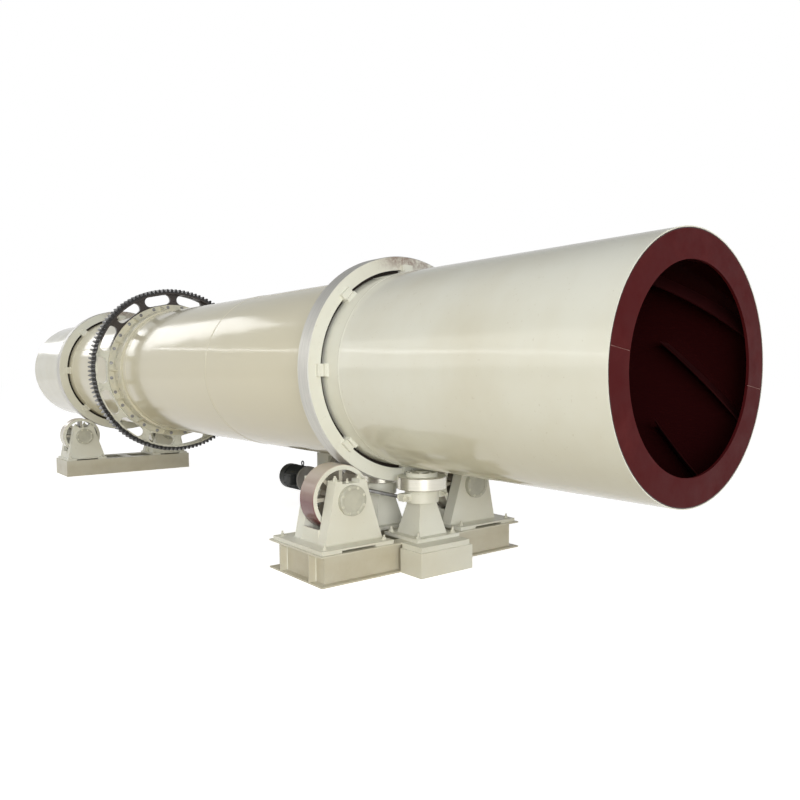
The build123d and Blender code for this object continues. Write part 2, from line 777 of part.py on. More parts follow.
# Motor: body, fan cowl, flange and lifting eye
motor_x = bracket_x - motor_length
with BuildPart() as motor:
    with BuildSketch(cross_plane(motor_x, motor_y, motor_height)):
        Circle(motor_cowl_radius)
    extrude(amount=motor_cowl_length)
    fillet(motor.edges().filter_by(GeomType.CIRCLE).sort_by(Axis.X)[0], motor_edge)
    with BuildSketch(cross_plane(motor_x + motor_cowl_length, motor_y, motor_height)):
        Circle(motor_radius)
    extrude(amount=motor_length - motor_cowl_length)
    with BuildSketch(cross_plane(bracket_x - motor_flange_length, motor_y, motor_height)):
        Circle(motor_flange_radius)
    extrude(amount=motor_flange_length)
    eye_x = motor_x + eye_share * motor_length
    eye_base = motor_height + motor_radius
    with BuildSketch(floor_plane(eye_x, motor_y, motor_height)):
        Circle(2 * eye_bar_radius)
    extrude(amount=motor_radius + eye_stem_height)
    eye_middle = eye_base + eye_stem_height + eye_ring_radius
    with Locations(Plane(origin=(eye_x, motor_y, eye_middle), x_dir=(1, 0, 0), z_dir=(0, -1, 0))):
        Torus(eye_ring_radius, eye_bar_radius)
keep(motor, "motor")

# Terminal box on the motor's side, near the bracket
terminal_x = bracket_x - motor_flange_length - terminal_gap - terminal_length / 2
with BuildPart() as terminal_box:
    with BuildSketch(floor_plane(terminal_x, motor_y - motor_radius, motor_height - terminal_height / 2)):
        Rectangle(terminal_length, 2 * terminal_depth)
    extrude(amount=terminal_height)
    fillet(terminal_box.edges().filter_by(Axis.Y), terminal_edge)
    with BuildSketch(cross_plane(terminal_x - terminal_length, motor_y, motor_height)):
        Circle(motor_radius)
    extrude(amount=2 * terminal_length, mode=Mode.SUBTRACT)
    split(bisect_by=Plane(origin=(0, motor_y, 0), x_dir=(1, 0, 0), z_dir=(0, -1, 0)))
keep(terminal_box, "terminal_box")

# Drive stand: deck rails and cross rails on legs with foot plates
deck_bottom = deck_top - deck_rail_depth
leg_spacing = reducer_length - leg_size
with BuildPart() as drive_stand:
    with BuildSketch(floor_plane(reducer_middle, pinion_y, deck_bottom)):
        with GridLocations(0, 2 * rail_offset, 1, 2):
            Rectangle(reducer_length, deck_rail_width)
        with GridLocations(leg_spacing, 0, 2, 1):
            Rectangle(deck_cross_width, 2 * deck_half_width)
    extrude(amount=deck_rail_depth)
    with BuildSketch(floor_plane(reducer_middle, pinion_y)):
        with GridLocations(leg_spacing, 2 * rail_offset, 2, 2):
            Rectangle(leg_size, deck_rail_width)
    extrude(amount=deck_bottom)
    with BuildSketch(floor_plane(reducer_middle, pinion_y)):
        with GridLocations(leg_spacing, 2 * rail_offset, 2, 2):
            Rectangle(leg_foot_size, leg_foot_size)
    extrude(amount=leg_foot_thickness)
keep(drive_stand, "drive_stand")
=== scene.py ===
"""Finish of a rotary dryer: paint, welds, fasteners and drive fittings on its frame, and a stage."""

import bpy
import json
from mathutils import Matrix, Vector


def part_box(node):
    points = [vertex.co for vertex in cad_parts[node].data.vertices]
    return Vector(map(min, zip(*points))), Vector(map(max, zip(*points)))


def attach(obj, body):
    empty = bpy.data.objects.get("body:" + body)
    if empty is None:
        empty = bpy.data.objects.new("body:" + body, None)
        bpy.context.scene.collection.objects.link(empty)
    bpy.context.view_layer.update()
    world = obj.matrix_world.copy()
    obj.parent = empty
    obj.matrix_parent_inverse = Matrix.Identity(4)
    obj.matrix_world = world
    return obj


bl_info = {
    "name": "Rotary Dryer Finish",
    "version": (1, 0, 0),
    "blender": (4, 5, 0),
    "location": "View3D > Sidebar > Dryer",
    "description": "Paint, welds, fasteners and drive fittings of a rotary dryer, with its stage",
    "category": "Object",
}

import json
import math
from itertools import product

import bmesh
import bpy
from bpy.props import FloatProperty, FloatVectorProperty, IntProperty, PointerProperty
from bpy.types import Operator, Panel, PropertyGroup
from mathutils import Matrix, Quaternion, Vector

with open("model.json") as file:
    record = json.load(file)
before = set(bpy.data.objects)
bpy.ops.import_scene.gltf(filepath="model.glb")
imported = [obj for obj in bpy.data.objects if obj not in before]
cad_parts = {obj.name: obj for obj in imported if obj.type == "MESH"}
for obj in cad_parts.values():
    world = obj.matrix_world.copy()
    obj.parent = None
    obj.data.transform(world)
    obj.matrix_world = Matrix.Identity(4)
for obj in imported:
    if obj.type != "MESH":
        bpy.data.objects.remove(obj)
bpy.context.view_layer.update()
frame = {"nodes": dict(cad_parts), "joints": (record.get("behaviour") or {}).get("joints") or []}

ALONG = Vector((1.0, 0.0, 0.0))
ACROSS = Vector((0.0, 1.0, 0.0))
UP = Vector((0.0, 0.0, 1.0))
BOTH = (-1.0, 1.0)
STATIONS = ("near", "far")
SIDES = ("left", "right")
THRUST_UNITS = ("front", "back")
COURSES = tuple(f"shell_course_{number}" for number in range(1, 6))


def middle(node):
    """Middle of a node's box."""
    low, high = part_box(node)
    return (low + high) / 2


# Places and radii read from the frame, in metres
PIVOTS = {joint["name"]: Vector(joint["pos_m"]) for joint in frame["joints"]}
AXIS = PIVOTS["drum_spin"]
DRIVE_AXIS = PIVOTS["pinion_spin"]
SHELL_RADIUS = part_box(COURSES[0])[1].z - AXIS.z
TYRE_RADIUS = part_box("near_tyre")[1].z - AXIS.z
GEAR_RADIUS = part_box("girth_gear")[1].z - AXIS.z
ROLLER_RADIUS = (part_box("near_left_roller")[1].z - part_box("near_left_roller")[0].z) / 2

# Sizes of the frame's parts that their boxes don't give, in metres
PRIMER_RADIUS = SHELL_RADIUS - 0.007
FLIGHT_ROOT = SHELL_RADIUS - 0.016
PAD_RADIUS = SHELL_RADIUS + 0.030
FOOT_TOP = 0.300
MOTOR_HEIGHT = 0.350
MOTOR_AXIS = Vector((0.0, middle("motor_base").y, MOTOR_HEIGHT))

# Turned fittings, as pairs of reach along the axis and radius, in metres
COVER_RING = ((-0.002, 0.098), (-0.002, 0.133), (0.004, 0.133), (0.006, 0.130), (0.006, 0.101),
              (0.004, 0.098))
GREASE_NIPPLE = ((-0.002, 0.0), (-0.002, 0.016), (0.012, 0.016), (0.014, 0.008), (0.026, 0.008),
                 (0.030, 0.011), (0.036, 0.006), (0.036, 0.0))
WHEEL_CAP = ((-0.002, 0.0), (-0.002, 0.062), (0.008, 0.062), (0.012, 0.056), (0.012, 0.0))
CABLE_GLAND = ((-0.002, 0.0), (-0.002, 0.020), (0.014, 0.020), (0.016, 0.015), (0.034, 0.013), (0.034, 0.0))
TUBE_CLAMP = ((0.0, 0.058), (0.0, 0.072), (0.018, 0.072), (0.018, 0.058))
BREATHER = ((-0.002, 0.0), (-0.002, 0.022), (0.010, 0.022), (0.012, 0.014), (0.030, 0.014),
            (0.032, 0.026), (0.048, 0.026), (0.054, 0.018), (0.054, 0.0))
SHAFT_COVER = ((-0.002, 0.055), (-0.002, 0.112), (0.010, 0.112), (0.014, 0.107), (0.014, 0.055))
OIL_GLASS = ((-0.002, 0.0), (-0.002, 0.030), (0.010, 0.030), (0.012, 0.026), (0.012, 0.018),
             (0.008, 0.016), (0.008, 0.0))
HUB_COVER = ((-0.002, 0.0), (-0.002, 0.075), (0.008, 0.075), (0.012, 0.070), (0.012, 0.040),
             (0.006, 0.036), (0.006, 0.0))
PINION_COVER = ((-0.002, 0.078), (-0.002, 0.134), (0.008, 0.134), (0.012, 0.130), (0.012, 0.078))
PINION_NIPPLE = ((-0.002, 0.0), (-0.002, 0.016), (0.010, 0.016), (0.012, 0.008), (0.024, 0.008),
                 (0.030, 0.005), (0.030, 0.0))
COUPLING_BAND = ((-0.008, 0.148), (-0.008, 0.158), (0.008, 0.158), (0.008, 0.148))

# Slot, finish and crease angle of the added pieces
CREAM = ("cream_paint", "cream_enamel")
FASTENER = ("cream_paint", "fastener_enamel", 20.0)
STEEL = ("bare_steel", "bare_steel_stain", 20.0)
GREY = ("drive_grey", "drive_enamel", 30.0)

# Lamps: name, place, target, size and turn about the aim
LAMPS = (
    ("front", (-3.0, -10.5, 5.2), (-3.0, 0.0, 1.8), (30.0, 6.0), 0.0),
    ("side", (16.0, -8.0, 3.4), (0.0, 0.0, 1.0), (10.0, 6.0), 0.0),
    ("overhead", (-3.5, -2.0, 9.0), (-3.5, 0.0, 1.5), (18.0, 6.0), 0.0),
    ("strip", (-9.0, -6.0, 4.3), (-9.0, 0.0, 1.8), (24.0, 0.16), 0.152),
    ("roof", (-25.0, -3.5, 9.0), (-10.0, 0.0, 2.0), (5.0, 9.0), 0.0),
)
FLOOR_REACH = 90.0
FLOOR_SHADE = (0.62, 0.62, 0.62)
FLOOR_GLOW = 0.84

# Camera, as fitted to the photo
CAMERA_PLACE = (5.71488, -4.3128, 1.80574)
CAMERA_YAW, CAMERA_PITCH, CAMERA_ROLL = 0.8699, -0.0741, 0.0002
CAMERA_SHIFT = (-0.0508, 0.03275)
CAMERA_SENSOR = 36.0
CAMERA_CLIP = 300.0


def srgb(red, green, blue):
    """Linear colour from screen values of 0 to 255."""
    return tuple(((value / 255.0 + 0.055) / 1.055) ** 2.4 for value in (red, green, blue))


def colour(name, description, default):
    """Colour property."""
    return FloatVectorProperty(
        name=name, description=description, default=default, subtype="COLOR", size=3, min=0.0, max=1.0)


def number(name, description, default, **settings):
    """Property of zero or more."""
    return FloatProperty(name=name, description=description, default=default, min=0.0, **settings)


def length(name, description, default):
    """Length property in metres."""
    return number(name, description, default, unit="LENGTH")


class DryerPaint(PropertyGroup):
    """Colours of the dryer's finishes."""

    cream: colour("Cream", "Enamel on the shell, stations and thrust units", srgb(226, 227, 217))
    cream_shade: colour("Cream shade", "Darker patches of the enamel", srgb(218, 216, 201))
    cream_worn: colour("Cream worn", "Greyer enamel of covers and bolt heads", srgb(199, 198, 183))
    # Painted shade: darker, warmer cream of the shell's middle between the tyres; also the gear mount's
    # enamel.
    cream_warm: colour("Cream warm", "Older enamel of the shell between the tyres", srgb(219, 214, 192))
    cover: colour("Cover", "Greyed enamel of the bearing caps", srgb(178, 177, 164))
    # Grime colour also paints the dust and painted shade near the floor on the stations' enamel.
    grime: colour("Grime", "Dust and grime that settles on the enamel", srgb(156, 140, 100))
    maroon: colour("Maroon", "Primer inside the drum and on its end rings", srgb(72, 19, 21))
    maroon_light: colour("Maroon light", "Rubbed places of the primer", srgb(88, 33, 34))
    seam: colour("Seam", "Pale filler in the end rings' joints", srgb(176, 140, 132))
    drum_inside: colour("Drum inside", "Sooty primer of the shell's inner face", srgb(49, 14, 15))
    soot_primer: colour("Soot on primer", "Sootier places of the inlet spirals", srgb(40, 11, 12))
    # Painted shade: dark colour of the gap under the tyres, on the tyres' bores and on the strips between
    # the pads.
    soot: colour("Soot", "Soot in the gap under the tyres", srgb(34, 30, 27))
    stain: colour("Stain", "Old primer stain on the tyres' sides", srgb(142, 122, 112))
    tread: colour("Tread", "Turned steel of the tyres' treads", srgb(202, 201, 196))
    tread_dark: colour("Dark tread", "Darker rings of the tyres' treads", srgb(158, 158, 156))
    # Painted highlight: pale colour along the upper side of the rollers' treads.
    tread_highlight: colour("Worn tread", "Rubbed paint on the rollers' treads", srgb(196, 184, 170))
    roller_primer: colour("Roller primer", "Primer on the near left roller's tread", srgb(118, 72, 73))
    # Dirt and painted shade in the rollers' recesses between the spokes.
    dirt_and_shade: colour("Dirt", "Dirt between the rollers' spokes", srgb(116, 98, 72))
    rim: colour("Rim", "Polished rims of the thrust rollers", srgb(220, 217, 205))
    rim_dark: colour("Dark rim", "Darker rings of the thrust rollers' rims", srgb(190, 187, 176))
    grease: colour("Grease", "Grease on the gear's teeth", srgb(26, 24, 24))
    # Painted shade on the gear's upper web; also a second tone of the pinion's grease and of the strips
    # under the tyres.
    oil_and_shade: colour("Gear web", "Oiled web of the gear", srgb(58, 50, 45))
    motor: colour("Motor", "Enamel of the motor", srgb(24, 27, 27))
    motor_dust: colour("Motor dust", "Dusty places of the motor's enamel", srgb(40, 44, 44))
    grey: colour("Grey", "Enamel of the reducer, guard and motor bracket", srgb(160, 158, 158))
    grey_dark: colour("Dark grey", "Darker places of the grey enamel", srgb(134, 131, 128))
    terminal: colour("Terminal box", "Dark grey enamel of the terminal box", srgb(58, 60, 61))
    steel: colour("Steel", "Bare steel of rods and fasteners", srgb(150, 150, 150))
    rust: colour("Rust", "Stains on bare steel", srgb(96, 80, 66))


class DryerFasteners(PropertyGroup):
    """Sizes across flats of the dryer's bolts."""

    cover: length("Cover bolt", "Across flats of the bearing covers' bolts", 0.015)
    ear: length("Ear bolt", "Across flats of the pedestals' bolts", 0.036)
    foot: length("Foot bolt", "Across flats of the feet's bolts", 0.030)
    thrust: length("Thrust bolt", "Across flats of the thrust units' bolts", 0.036)
    gear: length("Gear bolt", "Across flats of the gear mount's bolts", 0.027)
    drive: length("Drive bolt", "Across flats of the drive's bolts", 0.024)
    screw: length("Screw", "Across flats of small screws", 0.012)
    covers: IntProperty(
        name="Bolts to a cover", description="Bolts round each bearing cover", default=8, min=3)


class DryerWelds(PropertyGroup):
    """Sizes of the weld beads."""

    seam: length("Seam width", "Half width of the shell's seam beads", 0.013)
    crown: length("Seam crown", "Height of the shell's seam beads", 0.0035)
    fillet: length("Fillet", "Radius of the fillet beads on plates", 0.007)
    ring_joint: length("Ring joint", "Width of the filled joints of the end rings", 0.0036)
    stitch: length("Stitch", "Length of one stitch along a flight", 0.080)
    stitch_pitch: length("Stitch pitch", "Distance between stitches along a flight", 0.400)


class DryerStage(PropertyGroup):
    """Light and camera."""

    ambient: number("Ambient", "Strength of the even light all round", 0.26)
    front: number("Front", "Power of the broad light in front", 580.0)
    side: number("Side", "Power of the light from the mouth's side", 2000.0)
    overhead: number("Overhead", "Power of the soft light above", 60.0)
    strip: number("Strip", "Power of the long strip light in front", 50.0)
    roof: number("Roof", "Power of the far roof light", 330.0)
    front_tint: colour("Front tint", "Colour of the broad light in front", (1.0, 0.98, 0.91))
    floor: colour("Floor", "Colour of the floor's bounced light", srgb(192, 179, 140))
    focal: number("Focal length", "Lens of the camera", 33.469, subtype="DISTANCE_CAMERA")


class Graph:
    """Node tree put together from plain values and links."""

    def __init__(self, tree):
        self.tree = tree

    def node(self, kind, inputs=(), **settings):
        """New node with its settings, and with values or links on its sockets."""
        made = self.tree.nodes.new(kind)
        for key, value in settings.items():
            setattr(made, key, value)
        for key, value in dict(inputs).items():
            self.put(made.inputs[key], value)
        return made

    def put(self, socket, value):
        """Link an output to a socket, or set a plain value on it."""
        if isinstance(value, bpy.types.NodeSocket):
            self.tree.links.new(value, socket)
        elif socket.type == "RGBA":
            socket.default_value = (*value, 1.0)
        else:
            socket.default_value = value

    def math(self, kind, first, second=0.0):
        return self.node("ShaderNodeMath", {0: first, 1: second}, operation=kind).outputs[0]

    def reach(self, value, low, high, start=0.0, end=1.0):
        """Spread a value from low and high to start and end, held at both."""
        spread = dict(enumerate((value, low, high, start, end)))
        return self.node("ShaderNodeMapRange", spread).outputs["Result"]

    def blend(self, share, first, second):
        """Mix two colours."""
        return self.node("ShaderNodeMix", {0: share, 6: first, 7: second}, data_type="RGBA").outputs[2]

    def mix(self, share, first, second):
        """Mix two values."""
        return self.node("ShaderNodeMix", {0: share, 2: first, 3: second}).outputs[0]


class Finish(Graph):
    """Material read on Object coordinates."""

    def __init__(self, name):
        self.material = bpy.data.materials.new(name)
        self.material.use_nodes = True
        super().__init__(self.material.node_tree)
        self.shader = self.tree.nodes["Principled BSDF"]
        self.place = self.node("ShaderNodeTexCoord").outputs["Object"]

    def set(self, **values):
        """Set sockets of the shader; an underscore stands for a space."""
        for key, value in values.items():
            self.put(self.shader.inputs[key.replace("_", " ")], value)

    def moved(self, location=(0.0, 0.0, 0.0), scale=(1.0, 1.0, 1.0)):
        inputs = {"Vector": self.place, "Location": location, "Scale": scale}
        return self.node("ShaderNodeMapping", inputs).outputs["Vector"]

    def noise(self, scale, detail=4.0, rough=0.6, stretch=(1.0, 1.0, 1.0)):
        inputs = {"Vector": self.moved(scale=stretch), "Scale": scale, "Detail": detail, "Roughness": rough}
        return self.node("ShaderNodeTexNoise", inputs).outputs["Fac"]

    def drift(self, scale, low, high, detail=4.0):
        """Value that drifts between low and high over the surface."""
        return self.reach(self.noise(scale, detail), 0.3, 0.7, low, high)

    def past(self, value, edge, blur):
        """Share that turns to 1 where a value passes an edge."""
        return self.reach(value, edge - blur, edge + blur)

    def short(self, value, edge, blur):
        """Share that stays 1 where a value falls short of an edge."""
        return self.reach(value, edge - blur, edge + blur, 1.0, 0.0)

    def between(self, share, start, end):
        """Value that goes from start to end with a share."""
        return self.reach(share, 0.0, 1.0, start, end)

    def part(self, axis):
        """One coordinate of the surface: X, Y or Z."""
        return self.node("ShaderNodeSeparateXYZ", {0: self.place}).outputs[axis]

    def radius(self, centre, keep=(0.0, 1.0, 1.0)):
        """Distance from an axis through centre, measured in the kept directions."""
        inputs = {0: self.moved(tuple(-Vector(centre))), 1: keep}
        flat = self.node("ShaderNodeVectorMath", inputs, operation="MULTIPLY").outputs["Vector"]
        return self.node("ShaderNodeVectorMath", {0: flat}, operation="LENGTH").outputs["Value"]

    def bump(self, height, strength, distance, under=None):
        inputs = {"Height": height, "Strength": strength, "Distance": distance}
        if under is not None:
            inputs["Normal"] = under
        return self.node("ShaderNodeBump", inputs).outputs["Normal"]

    def peel(self, strength=0.25):
        """Fine unevenness of brushed enamel."""
        return self.bump(self.noise(90.0, 2.0, 0.5), strength, 0.0006)


def cream_colour(graph, paint):
    """Cream enamel with patchy tone and faint specks."""
    tone = graph.reach(graph.noise(0.9, 4.0, 0.55), 0.36, 0.66)
    enamel = graph.blend(tone, paint.cream, paint.cream_shade)
    specks = graph.reach(graph.noise(38.0, 2.0, 0.5), 0.68, 0.76, 0.0, 0.16)
    return graph.blend(specks, enamel, paint.grime)


def cream_finish(paint, name, dust):
    """Enamel of the stations and other fabrications, darker and warmer towards the ground: dust and painted
    shade near the floor.
    """
    graph = Finish(name)
    waves = graph.bump(graph.noise(6.0, 2.0, 0.5), 0.25, 0.004)
    fine = graph.bump(graph.noise(120.0, 2.0, 0.5), 0.2, 0.0005, waves)
    cloud = graph.reach(graph.noise(3.0, 6.0, 0.65), 0.35, 0.70, 0.7, 1.0)
    # Dust and painted shade: the enamel turns towards the grime colour near the floor.
    low_dust_and_shade = graph.math("MULTIPLY", graph.reach(graph.part("Z"), 0.16, 0.42, dust, dust * 0.1), cloud)
    graph.set(Base_Color=graph.blend(low_dust_and_shade, cream_colour(graph, paint), paint.grime))
    graph.set(Normal=fine, Coat_Weight=0.15, Coat_Roughness=0.25, Roughness=graph.drift(9.0, 0.30, 0.48))
    return graph.material


def shell_finish(paint):
    """Glossy enamel outside with the slow waves of rolled plate, and primer inside."""
    graph = Finish("shell_enamel")
    inside = graph.short(graph.radius(AXIS), PRIMER_RADIUS, 0.001)
    # Painted shade: between the tyres the shell gets the darker, warmer cream.
    before = graph.short(graph.part("X"), middle("near_tyre").x, 0.05)
    beyond = graph.past(graph.part("X"), middle("far_tyre").x, 0.05)
    warm = graph.math("MULTIPLY", before, beyond)
    outside = graph.blend(warm, cream_colour(graph, paint), paint.cream_warm)
    slow = graph.bump(graph.noise(1.4, 1.5, 0.45, (0.7, 1.0, 1.0)), 0.5, 0.016)
    quick = graph.bump(graph.noise(4.5, 1.0, 0.4, (0.35, 1.0, 1.0)), 0.35, 0.0022, slow)
    graph.set(Base_Color=graph.blend(inside, outside, paint.drum_inside))
    graph.set(Normal=quick, Roughness=graph.drift(2.5, 0.09, 0.17))
    return graph.material


def primer_finish(paint):
    """Primer of the end rings, with rubbed places."""
    graph = Finish("maroon_primer_coat")
    rubbed = graph.reach(graph.noise(3.2, 5.0, 0.65), 0.52, 0.74, 0.0, 0.55)
    graph.set(Base_Color=graph.blend(rubbed, paint.maroon, paint.maroon_light), Normal=graph.peel(0.4))
    graph.set(Specular_IOR_Level=0.08, Roughness=graph.drift(6.0, 0.38, 0.60))
    return graph.material


def tyre_finish(paint, name, node):
    """Cream sides with a stain of primer, a bore painted dark as painted shade of the gap, and a turned
    tread with fine rings.
    """
    graph = Finish(name)
    distance = graph.radius((middle(node).x, 0.0, AXIS.z))
    tread = graph.past(distance, TYRE_RADIUS - 0.006, 0.0015)
    rings = graph.noise(160.0, 2.0, 0.6, (1.0, 0.02, 0.02))
    machined = graph.blend(graph.reach(rings, 0.35, 0.65, 0.0, 0.5), paint.tread, paint.tread_dark)
    stain_top = graph.reach(graph.part("Z"), AXIS.z + 0.90, AXIS.z + 1.02)
    stain_side = graph.reach(graph.part("Y"), -0.42, -0.12)
    stain_cloud = graph.reach(graph.noise(16.0, 6.0, 0.7), 0.36, 0.58, 0.15, 0.95)
    stained = graph.math("MULTIPLY", graph.math("MULTIPLY", stain_top, stain_side), stain_cloud)
    sides = graph.blend(stained, cream_colour(graph, paint), paint.stain)
    # Painted shade: the bore, inside the pads' radius, is painted dark like the shaded gap under the tyre.
    sides = graph.blend(graph.short(distance, PAD_RADIUS + 0.0025, 0.0015), sides, paint.soot)
    graph.set(Base_Color=graph.blend(tread, sides, machined), Metallic=graph.between(tread, 0.0, 0.55))
    graph.set(Roughness=graph.between(tread, 0.36, 0.42))
    graph.set(Normal=graph.bump(rings, graph.between(tread, 0.0, 0.25), 0.0006))
    return graph.material


def roller_finish(paint, node, primed):
    """Support roller: cream sides, spokes and hub with dirt and painted shade between spokes, and a rubbed
    painted tread with a painted highlight on top.
    """
    graph = Finish(node + "_enamel")
    centre = middle(node)
    distance = graph.radius(centre)
    tread = graph.past(distance, ROLLER_RADIUS - 0.006, 0.0015)
    rubbed = graph.reach(graph.noise(7.0, 5.0, 0.6, (1.0, 0.4, 0.4)), 0.45, 0.75, 0.0, 0.6)
    tread_paint = paint.roller_primer if primed else paint.cream_shade
    # Painted highlight: the tread, with its rubbed places, turns pale along its upper side.
    highlight_share = graph.reach(graph.part("Z"), centre.z - 0.02, centre.z + 0.24)
    worn = graph.blend(highlight_share, graph.blend(rubbed, tread_paint, paint.maroon_light), paint.tread_highlight)
    # Dirt and painted shade: the recessed middle between the roller's faces is painted darker.
    depth = graph.math("ABSOLUTE", graph.math("SUBTRACT", graph.part("X"), centre.x))
    recess_share = graph.reach(depth, 0.085, 0.112, 0.75, 0.0)
    recess_darkened = graph.blend(recess_share, cream_colour(graph, paint), paint.dirt_and_shade)
    sides = graph.blend(graph.short(distance, 0.061, 0.001), recess_darkened, paint.steel)
    metal = graph.between(tread, 0.0, 0.0 if primed else 0.2)
    graph.set(Base_Color=graph.blend(tread, sides, worn), Metallic=metal, Normal=graph.peel())
    graph.set(Roughness=graph.between(tread, 0.38, 0.22), Coat_Weight=0.2)
    return graph.material


def thrust_finish(paint, node):
    """Thrust roller: polished rim and cream cap."""
    graph = Finish(node + "_steel")
    rim = graph.past(graph.radius(middle(node), (1.0, 1.0, 0.0)), 0.226, 0.004)
    rings = graph.noise(120.0, 2.0, 0.6, (0.02, 0.02, 1.0))
    machined = graph.blend(graph.reach(rings, 0.35, 0.65, 0.0, 0.4), paint.rim, paint.rim_dark)
    graph.set(Base_Color=graph.blend(rim, cream_colour(graph, paint), machined))
    graph.set(Metallic=graph.between(rim, 0.0, 0.7), Roughness=graph.between(rim, 0.36, 0.24))
    graph.set(Normal=graph.bump(rings, graph.between(rim, 0.0, 0.2), 0.0005))
    return graph.material


def gear_finish(paint):
    """Greased teeth, and the upper web painted dark brown as painted shade, with the enamel left on the
    lower web.
    """
    graph = Finish("gear_grease")
    edge = graph.math("ADD", graph.radius(AXIS), graph.drift(14.0, -0.008, 0.008))
    teeth = graph.past(edge, GEAR_RADIUS - 0.059, 0.005)
    # Painted shade: the web is painted dark brown towards its top, where it is in shade.
    height = graph.math("ADD", graph.part("Z"), graph.drift(1.7, -0.30, 0.30))
    web = graph.blend(graph.reach(height, 1.95, 2.35), cream_colour(graph, paint), paint.oil_and_shade)
    smears = graph.reach(graph.noise(9.0, 5.0, 0.65), 0.52, 0.74, 0.0, 0.5)
    graph.set(Base_Color=graph.blend(teeth, graph.blend(smears, web, paint.grease), paint.grease))
    graph.set(Normal=graph.bump(graph.noise(60.0), 0.4, 0.002), Roughness=graph.drift(11.0, 0.22, 0.46))
    return graph.material


def enamel_finish(name, base, dark, rough, gloss):
    """Plain machine enamel with a dusty, uneven tone."""
    graph = Finish(name)
    tone = graph.reach(graph.noise(6.0, 5.0), 0.35, 0.7)
    graph.set(Base_Color=graph.blend(tone, base, dark), Normal=graph.peel(0.35), Specular_IOR_Level=gloss)
    graph.set(Roughness=graph.drift(13.0, rough - 0.07, rough + 0.1))
    return graph.material


def steel_finish(paint):
    """Bare steel with faint stains."""
    graph = Finish("bare_steel_stain")
    stains = graph.reach(graph.noise(20.0, 5.0), 0.5, 0.75, 0.0, 0.6)
    graph.set(Base_Color=graph.blend(stains, paint.steel, paint.rust), Metallic=0.9, Normal=graph.peel())
    graph.set(Roughness=graph.drift(30.0, 0.28, 0.48, 3.0))
    return graph.material


def stand_on(place, direction):
    """Matrix whose Z leaves a surface at place along direction."""
    return Matrix.LocRotScale(Vector(place), Vector(direction).to_track_quat("Z", "Y"), None)


def rod(shape, start, end, radius, sides=16, end_radius=None):
    """Round or many-sided bar between two points."""
    start, end = Vector(start), Vector(end)
    bmesh.ops.create_cone(
        shape, cap_ends=True, segments=sides, radius1=radius,
        radius2=radius if end_radius is None else end_radius,
        depth=(end - start).length, matrix=stand_on((start + end) / 2, end - start))


def bead(shape, start, end, radius):
    """Straight fillet bead along a corner."""
    rod(shape, start, end, radius, 8)


def hex_bolt(shape, place, direction, across, stud=0.0):
    """Washer and chamfered hexagon in shares of the width across flats, with a stud end where one shows."""
    direction = Vector(direction).normalized()
    place = Vector(place)
    washer = place + direction * across * 0.14
    flat = washer + direction * across * 0.42
    top = flat + direction * across * 0.16
    rod(shape, place - direction * 0.002, washer, across * 0.92, 12)
    rod(shape, washer - direction * 0.001, flat, across * 0.577, 6)
    rod(shape, flat, top, across * 0.577, 6, across * 0.46)
    if stud > 0.0:
        rod(shape, top - direction * 0.001, top + direction * stud, across * 0.32, 8)


def turned(shape, centre, direction, profile, steps=32, closed=False):
    """Form turned about an axis from pairs of reach along it and radius."""
    before = len(shape.verts)
    matrix = stand_on(centre, direction)
    line = [shape.verts.new(matrix @ Vector((radius, 0.0, reach))) for reach, radius in profile]
    edges = [shape.edges.new(pair) for pair in zip(line, line[1:])]
    if closed:
        edges.append(shape.edges.new((line[-1], line[0])))
    bmesh.ops.spin(
        shape, geom=line + edges, cent=Vector(centre), axis=Vector(direction).normalized(),
        angle=math.tau, steps=steps, use_merge=True)
    bmesh.ops.remove_doubles(shape, verts=list(shape.verts)[before:], dist=1e-6)


def top_of(profile):
    """Height of a turned fitting over the face it stands on."""
    return max(profile)[0]


def bar(shape, place, turn, size, edge=0.0, steps=2):
    """Box of a size at a place, turned, with its edges taken off."""
    made = bmesh.ops.create_cube(shape, size=1.0, matrix=Matrix.LocRotScale(place, turn, Vector(size)))
    if edge > 0.0:
        edges = dict.fromkeys(line for vert in made["verts"] for line in vert.link_edges)
        bmesh.ops.bevel(
            shape, geom=list(edges), offset=edge, affect="EDGES", segments=steps, profile=0.5, material=-1)


def block(shape, low, high, edge):
    """Box between two corners with its edges taken off."""
    low, high = Vector(low), Vector(high)
    bar(shape, (low + high) / 2, None, high - low, edge)


def spoke(angle):
    """Directions out from an axis along X and round it, at an angle from the drive side."""
    turn = math.radians(angle)
    return Vector((0.0, math.cos(turn), math.sin(turn))), Vector((0.0, -math.sin(turn), math.cos(turn)))


def radial(angle, distance, x):
    """Point on the drum at an angle from the drive side, at a distance from its axis."""
    return Vector((x, 0.0, AXIS.z)) + spoke(angle)[0] * distance


def ring_places(centre, direction, radius, count, turn=0.0):
    """Evenly spaced points on a circle about an axis."""
    matrix = stand_on(centre, direction)
    turns = [turn + math.tau * step / count for step in range(count)]
    return [matrix @ Vector((radius * math.cos(at), radius * math.sin(at), 0.0)) for at in turns]


def pair(centre, reach):
    """Two places at one reach to both sides of a centre."""
    return centre - reach, centre + reach


def inside(low, high, inset):
    """Two places inside the ends of a span."""
    return low + inset, high - inset


def bolt_ring(shape, centre, direction, radius, count, across, stud=0.0, turn=0.0):
    """Bolts on a circle about an axis."""
    for place in ring_places(centre, direction, radius, count, turn):
        hex_bolt(shape, place, direction, across, stud)


def bolt_grid(shape, xs, ys, height, across, stud=0.0):
    """Upright bolts where two rows of places cross."""
    for x, y in product(xs, ys):
        hex_bolt(shape, (x, y, height), UP, across, stud)


def bead_round(shape, xs, ys, height, radius):
    """Beads along the four sides of a plate's foot."""
    for x in xs:
        bead(shape, (x, ys[0], height), (x, ys[1], height), radius)
    for y in ys:
        bead(shape, (xs[0], y, height), (xs[1], y, height), radius)


